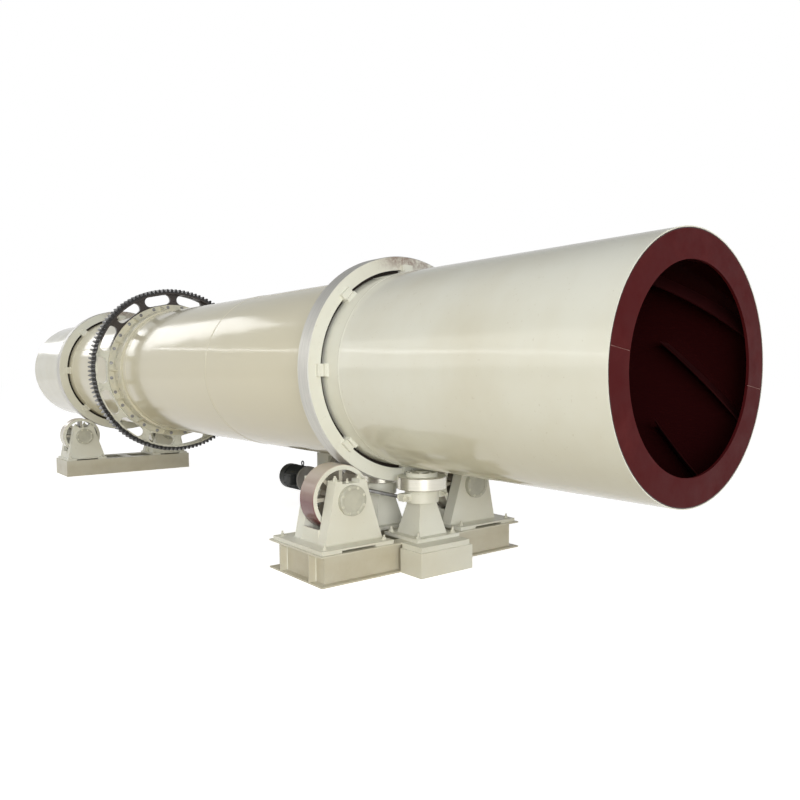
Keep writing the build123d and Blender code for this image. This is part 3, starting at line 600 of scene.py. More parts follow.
def roller_place(station, side):
    """Middle of a support roller on its axis."""
    node = f"{station}_{side}_roller"
    axis = PIVOTS[node + "_spin"]
    return Vector((middle(node).x, axis.y, axis.z))


def finish_piece(name, shape, body, slot, material, crease=35.0):
    """Turn a bmesh into a finished piece that rides on a body."""
    bmesh.ops.recalc_face_normals(shape, faces=list(shape.faces))
    for edge in shape.edges:
        edge.smooth = edge.is_manifold and edge.calc_face_angle() < math.radians(crease)
    for face in shape.faces:
        face.smooth = True
    mesh = bpy.data.meshes.new(name)
    shape.to_mesh(mesh)
    shape.free()
    mesh.materials.append(bpy.data.materials[material])
    piece = bpy.data.objects.new(name, mesh)
    bpy.context.scene.collection.objects.link(piece)
    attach(piece, body)


def coat(material, *nodes):
    """Put one finish on carried-over nodes."""
    for name in nodes:
        mesh = frame["nodes"][name].data
        mesh.materials.clear()
        mesh.materials.append(material)


class DRYER_OT_paint(Operator):
    """Put the finishes on the frame's own nodes"""

    bl_idname = "dryer.paint"
    bl_label = "Paint the dryer"

    def execute(self, context):
        paint = context.scene.dryer_paint
        # The last number is the share of dust and painted shade near the floor.
        coat(cream_finish(paint, "cream_enamel", 0.12), *frame["nodes"])
        coat(cream_finish(paint, "frame_enamel", 0.55), "near_frame", "far_frame")
        coat(shell_finish(paint), *COURSES)
        coat(primer_finish(paint), "near_end_ring", "far_end_ring")
        coat(gear_finish(paint), "girth_gear")
        coat(steel_finish(paint), "tie_rods", "coupling")
        for station in STATIONS:
            tyre = station + "_tyre"
            coat(tyre_finish(paint, station + "_tread", tyre), tyre)
            for side in SIDES:
                roller = f"{station}_{side}_roller"
                coat(roller_finish(paint, roller, roller == "near_left_roller"), roller)
        for unit in THRUST_UNITS:
            wheel = unit + "_thrust_roller"
            coat(thrust_finish(paint, wheel), wheel)
        for name, base, dark, rough, gloss, nodes in self.enamels(paint):
            coat(enamel_finish(name, base, dark, rough, gloss), *nodes)
        return {"FINISHED"}

    def enamels(self, paint):
        """Plain enamels: name, two tones, roughness, gloss and nodes; those without are for added pieces."""
        grey_parts = ("reducer", "belt_guard", "motor_base")
        caps = ("near_bearing_caps", "far_bearing_caps")
        return (
            ("seam_primer", paint.seam, paint.maroon_light, 0.55, 0.2, ()),
            ("sooty_primer", paint.drum_inside, paint.maroon, 0.60, 0.1, ("lifting_flights",)),
            ("spiral_primer", paint.drum_inside, paint.soot_primer, 0.55, 0.1, ("inlet_spirals",)),
            # Painted shade of the strips in the gap under the tyres.
            ("tyre_soot", paint.soot, paint.oil_and_shade, 0.70, 0.1, ()),
            ("pinion_grease", paint.grease, paint.oil_and_shade, 0.34, 0.5, ("pinion",)),
            ("motor_enamel", paint.motor, paint.motor_dust, 0.46, 0.3, ("motor",)),
            ("drive_enamel", paint.grey, paint.grey_dark, 0.44, 0.5, grey_parts),
            ("terminal_enamel", paint.terminal, paint.motor, 0.46, 0.3, ("terminal_box",)),
            ("fastener_enamel", paint.cream_shade, paint.cream_worn, 0.42, 0.5, ()),
            ("cover_enamel", paint.cover, paint.cream_worn, 0.36, 0.5, caps),
            ("mount_enamel", paint.cream_warm, paint.cream_worn, 0.30, 0.5, ("gear_mount",)),
        )


class DRYER_OT_weld_shell(Operator):
    """Lay the girth and long seams of the shell"""

    bl_idname = "dryer.weld_shell"
    bl_label = "Weld the shell's seams"

    def execute(self, context):
        weld = context.scene.dryer_welds
        half, crown = weld.seam, weld.crown
        shares = ((-1.0, -1.0), (-1.0, 0.0), (-0.6, 0.8), (0.0, 1.0), (0.6, 0.8), (1.0, 0.0), (1.0, -1.0))
        profile = [(half * along, SHELL_RADIUS + crown * rise) for along, rise in shares]
        seam_angles = (67.0, 112.0, 22.0, 158.0, 70.0)
        sunk = SHELL_RADIUS + crown - half
        shape = bmesh.new()
        for course in COURSES[1:]:
            turned(shape, (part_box(course)[1].x, 0.0, AXIS.z), ALONG, profile, 144, closed=True)
        for course, angle in zip(COURSES, seam_angles):
            low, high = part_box(course)
            rod(shape, radial(angle, sunk, low.x + half), radial(angle, sunk, high.x - half), half, 12)
        finish_piece("shell_seams", shape, "drum", "cream_paint", "shell_enamel")
        return {"FINISHED"}


class DRYER_OT_fill_rings(Operator):
    """Fill the joints of the end rings with a pale seam"""

    bl_idname = "dryer.fill_rings"
    bl_label = "Fill the end rings' joints"

    def execute(self, context):
        width = context.scene.dryer_welds.ring_joint
        depth, span, sunk = 0.006, 0.184, 0.005
        joint_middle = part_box("near_end_ring")[1].z - AXIS.z - 0.096
        shape = bmesh.new()
        for station, out in zip(STATIONS, (1.0, -1.0)):
            low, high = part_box(station + "_end_ring")
            outside = high.x if out > 0.0 else low.x
            for angle in (-9.0, 171.0):
                place = radial(angle, joint_middle, outside - out * sunk)
                turn = Quaternion(ALONG, math.radians(angle))
                bar(shape, place, turn, (depth, span, width), width * 0.2, 1)
        finish_piece("ring_joint_seams", shape, "drum", "maroon_primer", "seam_primer")
        return {"FINISHED"}


class DRYER_OT_weld_flights(Operator):
    """Stitch the lifting flights to the inside of the shell"""

    bl_idname = "dryer.weld_flights"
    bl_label = "Weld the flights"

    def execute(self, context):
        weld = context.scene.dryer_welds
        low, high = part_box("lifting_flights")
        rows, plate = 12, 0.010
        count = int((high.x - low.x) / weld.stitch_pitch)
        shape = bmesh.new()
        for row, offset, step in product(range(rows), (0.0, plate), range(count)):
            out, side = spoke(row * 360.0 / rows)
            start = low.x + weld.stitch_pitch * (step + 0.5)
            place = Vector((start, 0.0, AXIS.z)) + out * FLIGHT_ROOT + side * offset
            rod(shape, place, place + ALONG * weld.stitch, weld.fillet, 6)
        finish_piece("flight_stitches", shape, "drum", "maroon_primer", "sooty_primer")
        return {"FINISHED"}


class DRYER_OT_weld_pads(Operator):
    """Lay the beads round the tyre pads' ends"""

    bl_idname = "dryer.weld_pads"
    bl_label = "Weld the tyre pads"

    def execute(self, context):
        fillet = context.scene.dryer_welds.fillet
        pads, half_width, sunk = 8, 0.055, 0.001
        for station in STATIONS:
            shape = bmesh.new()
            ends = list(zip(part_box(station + "_tyre_pads"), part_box(station + "_tyre")))
            for pad, (end, face) in product(range(pads), ends):
                out, side = spoke(360.0 * pad / pads)
                root = Vector((0.0, 0.0, AXIS.z)) + out * (SHELL_RADIUS - sunk)
                edges = [root + side * (sign * half_width) for sign in BOTH]
                for edge in edges:
                    bead(shape, edge + ALONG * end.x, edge + ALONG * face.x, fillet)
                bead(shape, edges[1] + ALONG * end.x, edges[0] + ALONG * end.x, fillet)
            finish_piece(station + "_pad_welds", shape, "drum", *CREAM)
        return {"FINISHED"}


class DRYER_OT_bed_tyres(Operator):
    """Lay dark strips between the pads under the tyres, as painted shade in the gap"""

    bl_idname = "dryer.bed_tyres"
    bl_label = "Bed the tyres"

    def execute(self, context):
        # Dark strips between the pads: painted shade in the gap under each tyre.
        half_width = 0.050
        low, high = SHELL_RADIUS - 0.001, PAD_RADIUS - 0.002
        strip = ((-half_width, low), (-half_width, high), (half_width, high), (half_width, low))
        for station in STATIONS:
            shape = bmesh.new()
            turned(shape, (middle(station + "_tyre").x, 0.0, AXIS.z), ALONG, strip, 144, closed=True)
            finish_piece(station + "_tyre_bed", shape, "drum", "maroon_primer", "tyre_soot")
        return {"FINISHED"}


class DRYER_OT_bolt_gear(Operator):
    """Bolt the girth gear's collar to its mount on the shell"""

    bl_idname = "dryer.bolt_gear"
    bl_label = "Bolt the girth gear"

    def execute(self, context):
        across = context.scene.dryer_fasteners.gear
        bays, lean = 14, 6.5
        circle = SHELL_RADIUS + 0.066
        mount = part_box("gear_mount")[0].x
        collar, flange = mount - 0.090, mount + 0.030
        shape = bmesh.new()
        for bay, sign in product(range(bays), BOTH):
            angle = bay * 360.0 / bays + sign * lean
            hex_bolt(shape, radial(angle, circle, flange), ALONG, across, stud=0.014)
            hex_bolt(shape, radial(angle, circle, collar), -ALONG, across)
        finish_piece("gear_mount_bolts", shape, "drum", *STEEL)
        return {"FINISHED"}


class DRYER_OT_cover_bearings(Operator):
    """Fit raised rings, bolts and grease nipples to the support rollers' bearings"""

    bl_idname = "dryer.cover_bearings"
    bl_label = "Fit the bearing covers"

    def execute(self, context):
        bolts = context.scene.dryer_fasteners
        circle, first_turn = 0.117, math.radians(22.5)
        ear_height, nipple_inset = 0.025, 0.100
        for station in STATIONS:
            discs = bmesh.new()
            heads = bmesh.new()
            low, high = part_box(station + "_bearing_caps")
            for side, (face, sign) in product(SIDES, ((low.x, -1.0), (high.x, 1.0))):
                roller = roller_place(station, side)
                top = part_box(f"{station}_{side}_pedestals")[1].z - ear_height
                centre = Vector((face, roller.y, roller.z))
                out = ALONG * sign
                turned(discs, centre, out, COVER_RING, 48, closed=True)
                rim = centre + out * top_of(COVER_RING)
                bolt_ring(heads, rim, out, circle, bolts.covers, bolts.cover, turn=first_turn)
                turned(heads, (face - sign * nipple_inset, roller.y, top), UP, GREASE_NIPPLE, 12)
            finish_piece(station + "_cover_rings", discs, "base", "cream_paint", "cover_enamel")
            finish_piece(station + "_cover_bolts", heads, "base", *FASTENER)
        return {"FINISHED"}


class DRYER_OT_bolt_stations(Operator):
    """Bolt the pedestals' ears and the feet of both stations"""

    bl_idname = "dryer.bolt_stations"
    bl_label = "Bolt the stations"

    def execute(self, context):
        bolts = context.scene.dryer_fasteners
        ear_middle, ear_reach, foot_inset = 0.200, 0.125, 0.062
        for station in STATIONS:
            shape = bmesh.new()
            for side in SIDES:
                roller = roller_place(station, side)
                ear_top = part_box(f"{station}_{side}_pedestals")[1].z
                ears = pair(roller.x, ear_middle), pair(roller.y, ear_reach)
                bolt_grid(shape, *ears, ear_top, bolts.ear, stud=0.016)
                low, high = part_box(f"{station}_{side}_foot")
                feet = inside(low.x, high.x, foot_inset), inside(low.y, high.y, foot_inset)
                bolt_grid(shape, *feet, FOOT_TOP, bolts.foot, stud=0.022)
            finish_piece(station + "_station_bolts", shape, "base", *FASTENER)
        return {"FINISHED"}


class DRYER_OT_weld_stations(Operator):
    """Lay the fillet beads of the pedestals, low plates and frame stiffeners"""

    bl_idname = "dryer.weld_stations"
    bl_label = "Weld the stations"

    def execute(self, context):
        fillet = context.scene.dryer_welds.fillet
        foot_out, foot_in = 0.270, 0.330
        face_in, face_out = 0.135, 0.265
        low_plate = 0.262
        for station in STATIONS:
            shape = bmesh.new()
            for side, sign in zip(SIDES, BOTH):
                roller = roller_place(station, side)
                foot = (roller.y + sign * foot_out, roller.y - sign * foot_in)
                for end in BOTH:
                    faces = (roller.x + end * face_in, roller.x + end * face_out)
                    bead_round(shape, faces, foot, FOOT_TOP, fillet)
                first, last = pair(roller.x, face_in)
                for y in pair(roller.y, low_plate):
                    bead(shape, (first, y, FOOT_TOP), (last, y, FOOT_TOP), fillet)
            if station == "near":
                self.weld_stiffeners(shape, fillet * 0.8)
            finish_piece(station + "_station_welds", shape, "base", *CREAM)
        return {"FINISHED"}

    def weld_stiffeners(self, shape, fillet):
        """Beads on both faces of the stiffeners, which only the near frame has in the open."""
        low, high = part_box("near_frame")
        flange, web_inset = 0.014, 0.067
        faces = inside(low.x, high.x, 0.203) + inside(low.x, high.x, 0.217)
        for x, y in product(faces, inside(low.y, high.y, web_inset)):
            bead(shape, (x, y, flange), (x, y, high.z - flange), fillet)


class DRYER_OT_fit_thrust(Operator):
    """Bolt the thrust units down, nut their tie rods and fit the wheels' caps"""

    bl_idname = "dryer.fit_thrust"
    bl_label = "Fit the thrust units"

    def execute(self, context):
        bolts = context.scene.dryer_fasteners
        plate_top, plate_corner = 0.297, 0.205
        rod_radius, lug = 0.018, 0.080
        low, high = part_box("tie_rods")
        height = middle("tie_rods").z
        shape = bmesh.new()
        for unit, sign in zip(THRUST_UNITS, (1.0, -1.0)):
            wheel = middle(unit + "_thrust_roller")
            plate = pair(wheel.x, plate_corner), pair(wheel.y, plate_corner)
            bolt_grid(shape, *plate, plate_top, bolts.thrust, stud=0.030)
            inner = high.x if sign > 0.0 else low.x
            for y in inside(low.y, high.y, rod_radius):
                hex_bolt(shape, (inner + sign * lug, y, height), ALONG * sign, bolts.ear, stud=0.040)
                hex_bolt(shape, (inner, y, height), -ALONG * sign, bolts.ear)
            self.cap_wheel(unit, bolts.cover)
        finish_piece("thrust_bolts", shape, "base", *FASTENER)
        return {"FINISHED"}

    def cap_wheel(self, unit, across):
        """Raised cap and bolts on top of a wheel, which turn with it."""
        circle, count = 0.125, 8
        wheel = unit + "_thrust_roller"
        centre = middle(wheel)
        centre.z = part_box(wheel)[1].z
        shape = bmesh.new()
        turned(shape, centre, UP, WHEEL_CAP)
        bolt_ring(shape, centre, UP, circle, count, across)
        finish_piece(unit + "_thrust_cap_bolts", shape, wheel, *FASTENER)


class DRYER_OT_dress_motor(Operator):
    """Give the motor its fins, cowl grille and terminal fittings"""

    bl_idname = "dryer.dress_motor"
    bl_label = "Dress the motor"

    def execute(self, context):
        bolts = context.scene.dryer_fasteners
        self.fit_fins()
        self.fit_lid(bolts.screw)
        self.fit_bolts(bolts)
        return {"FINISHED"}

    def fit_fins(self):
        """Fins clear of the terminal box and the lifting eye, and the cowl's grille."""
        low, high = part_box("motor")
        cowl_length, flange_length = 0.138, 0.022
        start, end = low.x + cowl_length, high.x - flange_length
        fins, root, tip, thickness = 44, 0.158, 0.1685, 0.004
        kept_clear = ((150.0, 210.0), (82.0, 98.0))
        shape = bmesh.new()
        for fin in range(fins):
            angle = 360.0 * fin / fins
            if any(first < angle < last for first, last in kept_clear):
                continue
            out, side = spoke(angle)
            place = MOTOR_AXIS + out * (root + tip) / 2 + ALONG * (start + end) / 2
            turn = Matrix((side, ALONG, out)).transposed().to_quaternion()
            bar(shape, place, turn, (thickness, end - start, tip - root))
        cowl = MOTOR_AXIS + ALONG * low.x
        circles, spokes, wire = (0.045, 0.075, 0.105, 0.135), 8, 0.003
        section = ((-0.001, -0.004), (0.003, -0.003), (0.003, 0.003), (-0.001, 0.004))
        for circle in circles:
            turned(shape, cowl, -ALONG, [(rise, circle + wide) for rise, wide in section], closed=True)
        for place in ring_places(cowl, -ALONG, circles[-1], spokes):
            rod(shape, cowl, place, wire, 6)
        finish_piece("motor_fins", shape, "base", "motor_black", "motor_enamel", 25.0)

    def fit_lid(self, across):
        """Lid of the terminal box with its screws and cable gland."""
        low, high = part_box("terminal_box")
        margin, raised, sunk, edge = 0.012, 0.006, 0.004, 0.003
        inset, gland_inset = 0.026, 0.040
        shape = bmesh.new()
        block(shape, (low.x + margin, low.y - raised, low.z + margin),
              (high.x - margin, low.y + sunk, high.z - margin), edge)
        for x, z in product(inside(low.x, high.x, inset), inside(low.z, high.z, inset)):
            hex_bolt(shape, (x, low.y - raised, z), -ACROSS, across)
        turned(shape, ((low.x + high.x) / 2, low.y + gland_inset, low.z), -UP, CABLE_GLAND, 16)
        finish_piece("terminal_lid", shape, "base", "drive_grey", "terminal_enamel", 25.0)

    def fit_bolts(self, bolts):
        """Bolts of the motor's flange and of the bracket's foot, and clamps on the shaft tube."""
        flange_length, circle, count = 0.024, 0.1685, 8
        foot_top, foot_rows, foot_reach = 0.024, (0.070, 0.210), 0.040
        second_clamp, last_clamp = 0.350, 0.138
        shape = bmesh.new()
        flange = MOTOR_AXIS + ALONG * (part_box("motor")[1].x - flange_length)
        bolt_ring(shape, flange, -ALONG, circle, count, bolts.screw, turn=math.radians(22.5))
        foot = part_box("motor_base")[1].x
        rows = [foot - row for row in foot_rows], pair(MOTOR_AXIS.y, foot_reach)
        bolt_grid(shape, *rows, foot_top, bolts.drive, stud=0.012)
        low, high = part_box("belt_guard")
        for x in (low.x, low.x + second_clamp, high.x - last_clamp):
            turned(shape, MOTOR_AXIS + ALONG * x, ALONG, TUBE_CLAMP, closed=True)
        finish_piece("motor_bolts", shape, "base", *STEEL)


class DRYER_OT_dress_reducer(Operator):
    """Give the reducer its flange bolts, ribs, covers and breather"""

    bl_idname = "dryer.dress_reducer"
    bl_label = "Dress the reducer"

    def execute(self, context):
        bolts = context.scene.dryer_fasteners
        low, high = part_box("reducer")
        boss, half_width, half_flange = 0.060, 0.200, 0.020
        flange_reach, foot_reach, foot_rise = 0.221, 0.245, 0.040
        half_rib, rib_sunk, rib_reach, rib_edge = 0.008, 0.004, 0.026, 0.002
        rib_foot, rib_gap, rib_head = 0.036, 0.018, 0.060
        lid_inset, half_lid, lid_sunk, lid_rise, lid_edge = 0.110, 0.095, 0.003, 0.012, 0.003
        screw_inset, screw_reach, breather_inset = 0.125, 0.080, 0.060
        fitting_offset, glass_drop, drain_rise = 0.080, 0.120, 0.090
        cover_circle, cover_bolts = 0.086, 6
        start, end = low.x + boss, high.x - boss
        centre, run = (start + end) / 2, end - start
        y, z, top = DRIVE_AXIS.y, DRIVE_AXIS.z, high.z
        shape = bmesh.new()
        for sign, share in product(BOTH, (0.18, 0.50, 0.82)):
            x, wall = start + run * share, y + sign * half_width
            near, far = sorted((wall - sign * rib_sunk, wall + sign * rib_reach))
            for under, over in ((low.z + rib_foot, z - rib_gap), (z + rib_gap, top - rib_head)):
                block(shape, (x - half_rib, near, under), (x + half_rib, far, over), rib_edge)
        block(shape, (start + lid_inset, y - half_lid, top - lid_sunk),
              (end - lid_inset, y + half_lid, top + lid_rise), lid_edge)
        turned(shape, (start + breather_inset, y, top), UP, BREATHER, 20)
        turned(shape, (low.x, y, z), -ALONG, SHAFT_COVER, 40, closed=True)
        turned(shape, (centre + fitting_offset, y - half_width, z - glass_drop), -ACROSS, OIL_GLASS, 24)
        finish_piece("reducer_fittings", shape, "base", *GREY)
        heads = bmesh.new()
        flange = [start + run * share for share in (0.06, 0.34, 0.66, 0.94)], pair(y, flange_reach)
        bolt_grid(heads, *flange, z + half_flange, bolts.drive, stud=0.010)
        for x, edge in product(*flange):
            hex_bolt(heads, (x, edge, z - half_flange), -UP, bolts.drive)
        feet = [start + run * share for share in (0.12, 0.88)], pair(y, foot_reach)
        bolt_grid(heads, *feet, low.z + foot_rise, bolts.foot, stud=0.014)
        lid = (start + screw_inset, centre, end - screw_inset), pair(y, screw_reach)
        bolt_grid(heads, *lid, top + lid_rise, bolts.screw)
        cover = (low.x - top_of(SHAFT_COVER), y, z)
        bolt_ring(heads, cover, -ALONG, cover_circle, cover_bolts, bolts.drive * 0.75)
        drain = (centre - fitting_offset, y - half_width, low.z + drain_rise)
        hex_bolt(heads, drain, -ACROSS, bolts.drive)
        finish_piece("reducer_bolts", heads, "base", *STEEL)
        return {"FINISHED"}


class DRYER_OT_dress_guard(Operator):
    """Give the belt guard its bolts, hub covers and louvres"""

    bl_idname = "dryer.dress_guard"
    bl_label = "Dress the belt guard"

    def execute(self, context):
        across = context.scene.dryer_fasteners.screw * 1.4
        big, small, inset = 0.230, 0.140, 0.022
        louvres, half_louvre, louvre_radius = 6, 0.075, 0.009
        first_louvre, louvre_run = 0.30, 0.42
        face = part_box("belt_guard")[1].x
        start = Vector((face, DRIVE_AXIS.y, DRIVE_AXIS.z))
        end = Vector((face, MOTOR_AXIS.y, MOTOR_AXIS.z))
        span = end - start
        run = span.normalized()
        side = ALONG.cross(run)
        shape = bmesh.new()
        for lobe in (start, end):
            turned(shape, lobe, ALONG, HUB_COVER)
        for step in range(louvres):
            place = start + span * (first_louvre + louvre_run * step / (louvres - 1))
            rod(shape, place - side * half_louvre, place + side * half_louvre, louvre_radius, 8)
        finish_piece("guard_covers", shape, "base", *GREY)
        heads = bmesh.new()
        lean = math.asin((big - small) / span.length)
        for sign, share in product(BOTH, (0.0, 0.25, 0.5, 0.75, 1.0)):
            normal = side * (sign * math.cos(lean)) - run * math.sin(lean)
            width = big + (small - big) * share - inset
            hex_bolt(heads, start + span * share + normal * width, ALONG, across)
        for lobe, radius, way in ((start, big, -1.0), (end, small, 1.0)):
            for turn in (-40.0, 0.0, 40.0):
                angle = math.radians(turn)
                out = run * (way * math.cos(angle)) + side * math.sin(angle)
                hex_bolt(heads, lobe + out * (radius - inset), ALONG, across)
        finish_piece("guard_bolts", heads, "base", *STEEL)
        return {"FINISHED"}


class DRYER_OT_dress_pinion(Operator):
    """Fit the pinion bearing's covers, its foot bolts and the coupling's bolts"""

    bl_idname = "dryer.dress_pinion"
    bl_label = "Dress the pinion bearing"

    def execute(self, context):
        bolts = context.scene.dryer_fasteners
        self.fit_bearing(bolts, context.scene.dryer_welds.fillet)
        self.fit_coupling(bolts.drive)
        return {"FINISHED"}

    def fit_bearing(self, bolts, fillet):
        """Covers, bolts and grease nipple of the bearing, and the welds of its arm and column."""
        low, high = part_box("pinion_pedestal")
        y, z = DRIVE_AXIS.y, DRIVE_AXIS.z
        half_housing, cover_circle = 0.200, 0.108
        half_plate, plate_top, bolt_reach = 0.230, 0.030, 0.185
        half_column, half_width = 0.120, 0.090
        arm_top = z - 0.170
        arm_low = arm_top - 0.200
        centre = Vector((low.x + half_housing, y, z))
        shape = bmesh.new()
        heads = bmesh.new()
        for sign in BOTH:
            out = ALONG * sign
            face = centre + out * half_housing
            turned(shape, face, out, PINION_COVER, 40, closed=True)
            rim = face + out * top_of(PINION_COVER)
            bolt_ring(heads, rim, out, cover_circle, bolts.covers, bolts.drive * 0.8)
        foot = high.x - half_plate
        back, front = pair(foot, half_column)
        bead_round(shape, (back, front), pair(y, half_width), plate_top, fillet)
        for side in pair(y, half_width):
            bead(shape, (back, side, arm_low), (back, side, arm_top), fillet)
            bead(shape, (back, side, arm_low), (front, side, arm_low), fillet)
            bead(shape, (low.x, side, arm_top), (low.x + 2.0 * half_housing, side, arm_top), fillet)
        bolt_grid(heads, pair(foot, bolt_reach), pair(y, bolt_reach), plate_top, bolts.foot, stud=0.024)
        turned(heads, (centre.x, y, high.z), UP, PINION_NIPPLE, 12)
        finish_piece("pinion_bearing_covers", shape, "base", *CREAM)
        finish_piece("pinion_bearing_bolts", heads, "base", *STEEL)

    def fit_coupling(self, across):
        """Bolts and band of the coupling, which turn with the pinion."""
        hub, circle, count = 0.150, 0.112, 8
        start = Vector((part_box("coupling")[0].x, DRIVE_AXIS.y, DRIVE_AXIS.z))
        shape = bmesh.new()
        bolt_ring(shape, start + ALONG * hub, ALONG, circle, count, across, stud=0.010)
        turned(shape, start + ALONG * (hub / 2), ALONG, COUPLING_BAND, 48, closed=True)
        finish_piece("coupling_bolts", shape, "pinion", *STEEL)


class DRYER_OT_bolt_stand(Operator):
    """Bolt and weld the drive stand's feet"""

    bl_idname = "dryer.bolt_stand"
    bl_label = "Bolt the drive stand"

    def execute(self, context):
        across = context.scene.dryer_fasteners.drive * 0.9
        fillet = context.scene.dryer_welds.fillet
        half_foot, foot_top, reach = 0.075, 0.016, 0.056
        half_leg, half_width = 0.045, 0.035
        heads = bmesh.new()
        beads = bmesh.new()
        low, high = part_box("drive_stand")
        for x, y in product(inside(low.x, high.x, half_foot), inside(low.y, high.y, half_foot)):
            for sign in BOTH:
                hex_bolt(heads, (x + sign * reach, y + sign * reach, foot_top), UP, across, stud=0.012)
            bead_round(beads, pair(x, half_leg), pair(y, half_width), foot_top, fillet)
        finish_piece("stand_bolts", heads, "base", *STEEL)
        finish_piece("stand_welds", beads, "base", *CREAM)
        return {"FINISHED"}


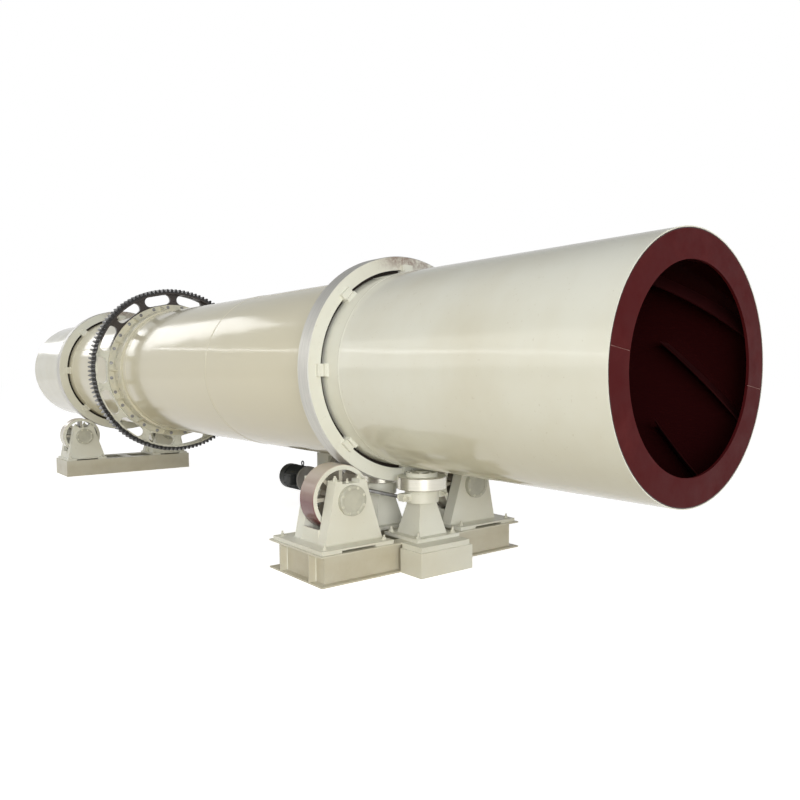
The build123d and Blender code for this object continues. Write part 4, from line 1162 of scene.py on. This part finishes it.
class DRYER_OT_set_stage(Operator):
    """Set the floor, light and camera"""

    bl_idname = "dryer.set_stage"
    bl_label = "Set the stage"

    def execute(self, context):
        scene = context.scene
        stage = scene.dryer_stage
        scene.view_settings.view_transform = "Standard"
        self.lay_floor(stage)
        self.light_world(stage, scene)
        for name, *placing in LAMPS:
            lamp = self.hang_lamp(name + "_light", getattr(stage, name), *placing)
            if name == "front":
                lamp.color = stage.front_tint
        self.place_camera(stage, scene)
        return {"FINISHED"}

    def lay_floor(self, stage):
        """Floor that shows as a white ground and gives a warm bounce to all else."""
        shape = bmesh.new()
        bmesh.ops.create_grid(shape, x_segments=8, y_segments=8, size=FLOOR_REACH)
        mesh = bpy.data.meshes.new("floor")
        shape.to_mesh(mesh)
        shape.free()
        floor = bpy.data.objects.new("floor", mesh)
        bpy.context.scene.collection.objects.link(floor)
        material = bpy.data.materials.new("pale_floor")
        material.use_nodes = True
        material.node_tree.nodes.clear()
        graph = Graph(material.node_tree)
        path = graph.node("ShaderNodeLightPath").outputs
        seen = graph.math("MAXIMUM", path["Is Camera Ray"], path["Is Glossy Ray"])
        seen = graph.math("MAXIMUM", seen, path["Is Transmission Ray"])
        bounce = graph.node("ShaderNodeBsdfDiffuse", {"Color": stage.floor})
        shade = graph.node("ShaderNodeBsdfDiffuse", {"Color": FLOOR_SHADE})
        glow = graph.node("ShaderNodeEmission", {"Strength": FLOOR_GLOW})
        shown = graph.node("ShaderNodeAddShader", {0: shade.outputs[0], 1: glow.outputs[0]})
        both = graph.node("ShaderNodeMixShader", {0: seen, 1: bounce.outputs[0], 2: shown.outputs[0]})
        graph.node("ShaderNodeOutputMaterial", {"Surface": both.outputs[0]})
        mesh.materials.append(material)

    def light_world(self, stage, scene):
        """White to the camera, a hall with a dimmer roof in reflections, and even light on all else."""
        world = bpy.data.worlds.new("white_hall")
        scene.world = world
        world.use_nodes = True
        world.node_tree.nodes.clear()
        graph = Graph(world.node_tree)
        direction = graph.node("ShaderNodeTexCoord").outputs["Generated"]
        height = graph.node("ShaderNodeSeparateXYZ", {0: direction}).outputs["Z"]
        roof = graph.reach(height, 0.05, 0.55, 1.0, 0.30)
        path = graph.node("ShaderNodeLightPath").outputs
        mirrored = graph.mix(path["Is Glossy Ray"], stage.ambient, roof)
        clear = graph.math("MAXIMUM", path["Is Camera Ray"], path["Is Transmission Ray"])
        strength = graph.mix(clear, mirrored, 1.0)
        sky = graph.node("ShaderNodeBackground", {"Color": (1.0, 1.0, 1.0), "Strength": strength})
        graph.node("ShaderNodeOutputWorld", {"Surface": sky.outputs[0]})

    def hang_lamp(self, name, power, place, target, size, lean):
        lamp = bpy.data.lights.new(name, "AREA")
        lamp.energy = power
        lamp.shape = "RECTANGLE"
        lamp.size, lamp.size_y = size
        light = bpy.data.objects.new(name, lamp)
        light.location = place
        aim = (Vector(target) - Vector(place)).to_track_quat("-Z", "Y")
        light.rotation_euler = (aim @ Quaternion(UP, -lean)).to_euler()
        light.visible_camera = False
        bpy.context.scene.collection.objects.link(light)
        return lamp

    def place_camera(self, stage, scene):
        lens = bpy.data.cameras.new("camera")
        lens.sensor_width = CAMERA_SENSOR
        lens.lens = stage.focal
        lens.shift_x, lens.shift_y = CAMERA_SHIFT
        lens.clip_end = CAMERA_CLIP
        camera = bpy.data.objects.new("camera", lens)
        right = Vector((math.cos(CAMERA_YAW), math.sin(CAMERA_YAW), 0.0))
        level = UP.cross(right)
        ahead = level * math.cos(CAMERA_PITCH) + UP * math.sin(CAMERA_PITCH)
        over = right.cross(ahead)
        cosine, sine = math.cos(CAMERA_ROLL), math.sin(CAMERA_ROLL)
        axes = Matrix((right * cosine + over * sine, over * cosine - right * sine, -ahead)).transposed()
        camera.matrix_world = Matrix.LocRotScale(Vector(CAMERA_PLACE), axes.to_quaternion(), None)
        bpy.context.scene.collection.objects.link(camera)
        scene.camera = camera


OPERATORS = (
    DRYER_OT_paint, DRYER_OT_weld_shell, DRYER_OT_fill_rings, DRYER_OT_weld_flights, DRYER_OT_weld_pads,
    DRYER_OT_bed_tyres, DRYER_OT_bolt_gear, DRYER_OT_cover_bearings, DRYER_OT_bolt_stations,
    DRYER_OT_weld_stations, DRYER_OT_fit_thrust, DRYER_OT_dress_motor, DRYER_OT_dress_reducer,
    DRYER_OT_dress_guard, DRYER_OT_dress_pinion, DRYER_OT_bolt_stand, DRYER_OT_set_stage,
)
GROUPS = {
    "dryer_paint": DryerPaint,
    "dryer_fasteners": DryerFasteners,
    "dryer_welds": DryerWelds,
    "dryer_stage": DryerStage,
}


class DRYER_PT_finish(Panel):
    """Sizes, colours and steps of the dryer's finish"""

    bl_idname = "DRYER_PT_finish"
    bl_label = "Rotary dryer"
    bl_space_type = "VIEW_3D"
    bl_region_type = "UI"
    bl_category = "Dryer"

    def draw(self, context):
        for name, group in GROUPS.items():
            box = self.layout.box()
            for prop in group.__annotations__:
                box.prop(getattr(context.scene, name), prop)
        for operator in OPERATORS:
            self.layout.operator(operator.bl_idname)


def register():
    for name, group in GROUPS.items():
        bpy.utils.register_class(group)
        setattr(bpy.types.Scene, name, PointerProperty(type=group))
    for made in (*OPERATORS, DRYER_PT_finish):
        bpy.utils.register_class(made)


def unregister():
    for made in reversed((*OPERATORS, DRYER_PT_finish)):
        bpy.utils.unregister_class(made)
    for name, group in GROUPS.items():
        delattr(bpy.types.Scene, name)
        bpy.utils.unregister_class(group)


def main():
    register()
    for operator in OPERATORS:
        group, step = operator.bl_idname.split(".")
        getattr(getattr(bpy.ops, group), step)()


if __name__ == "__main__":
    main()
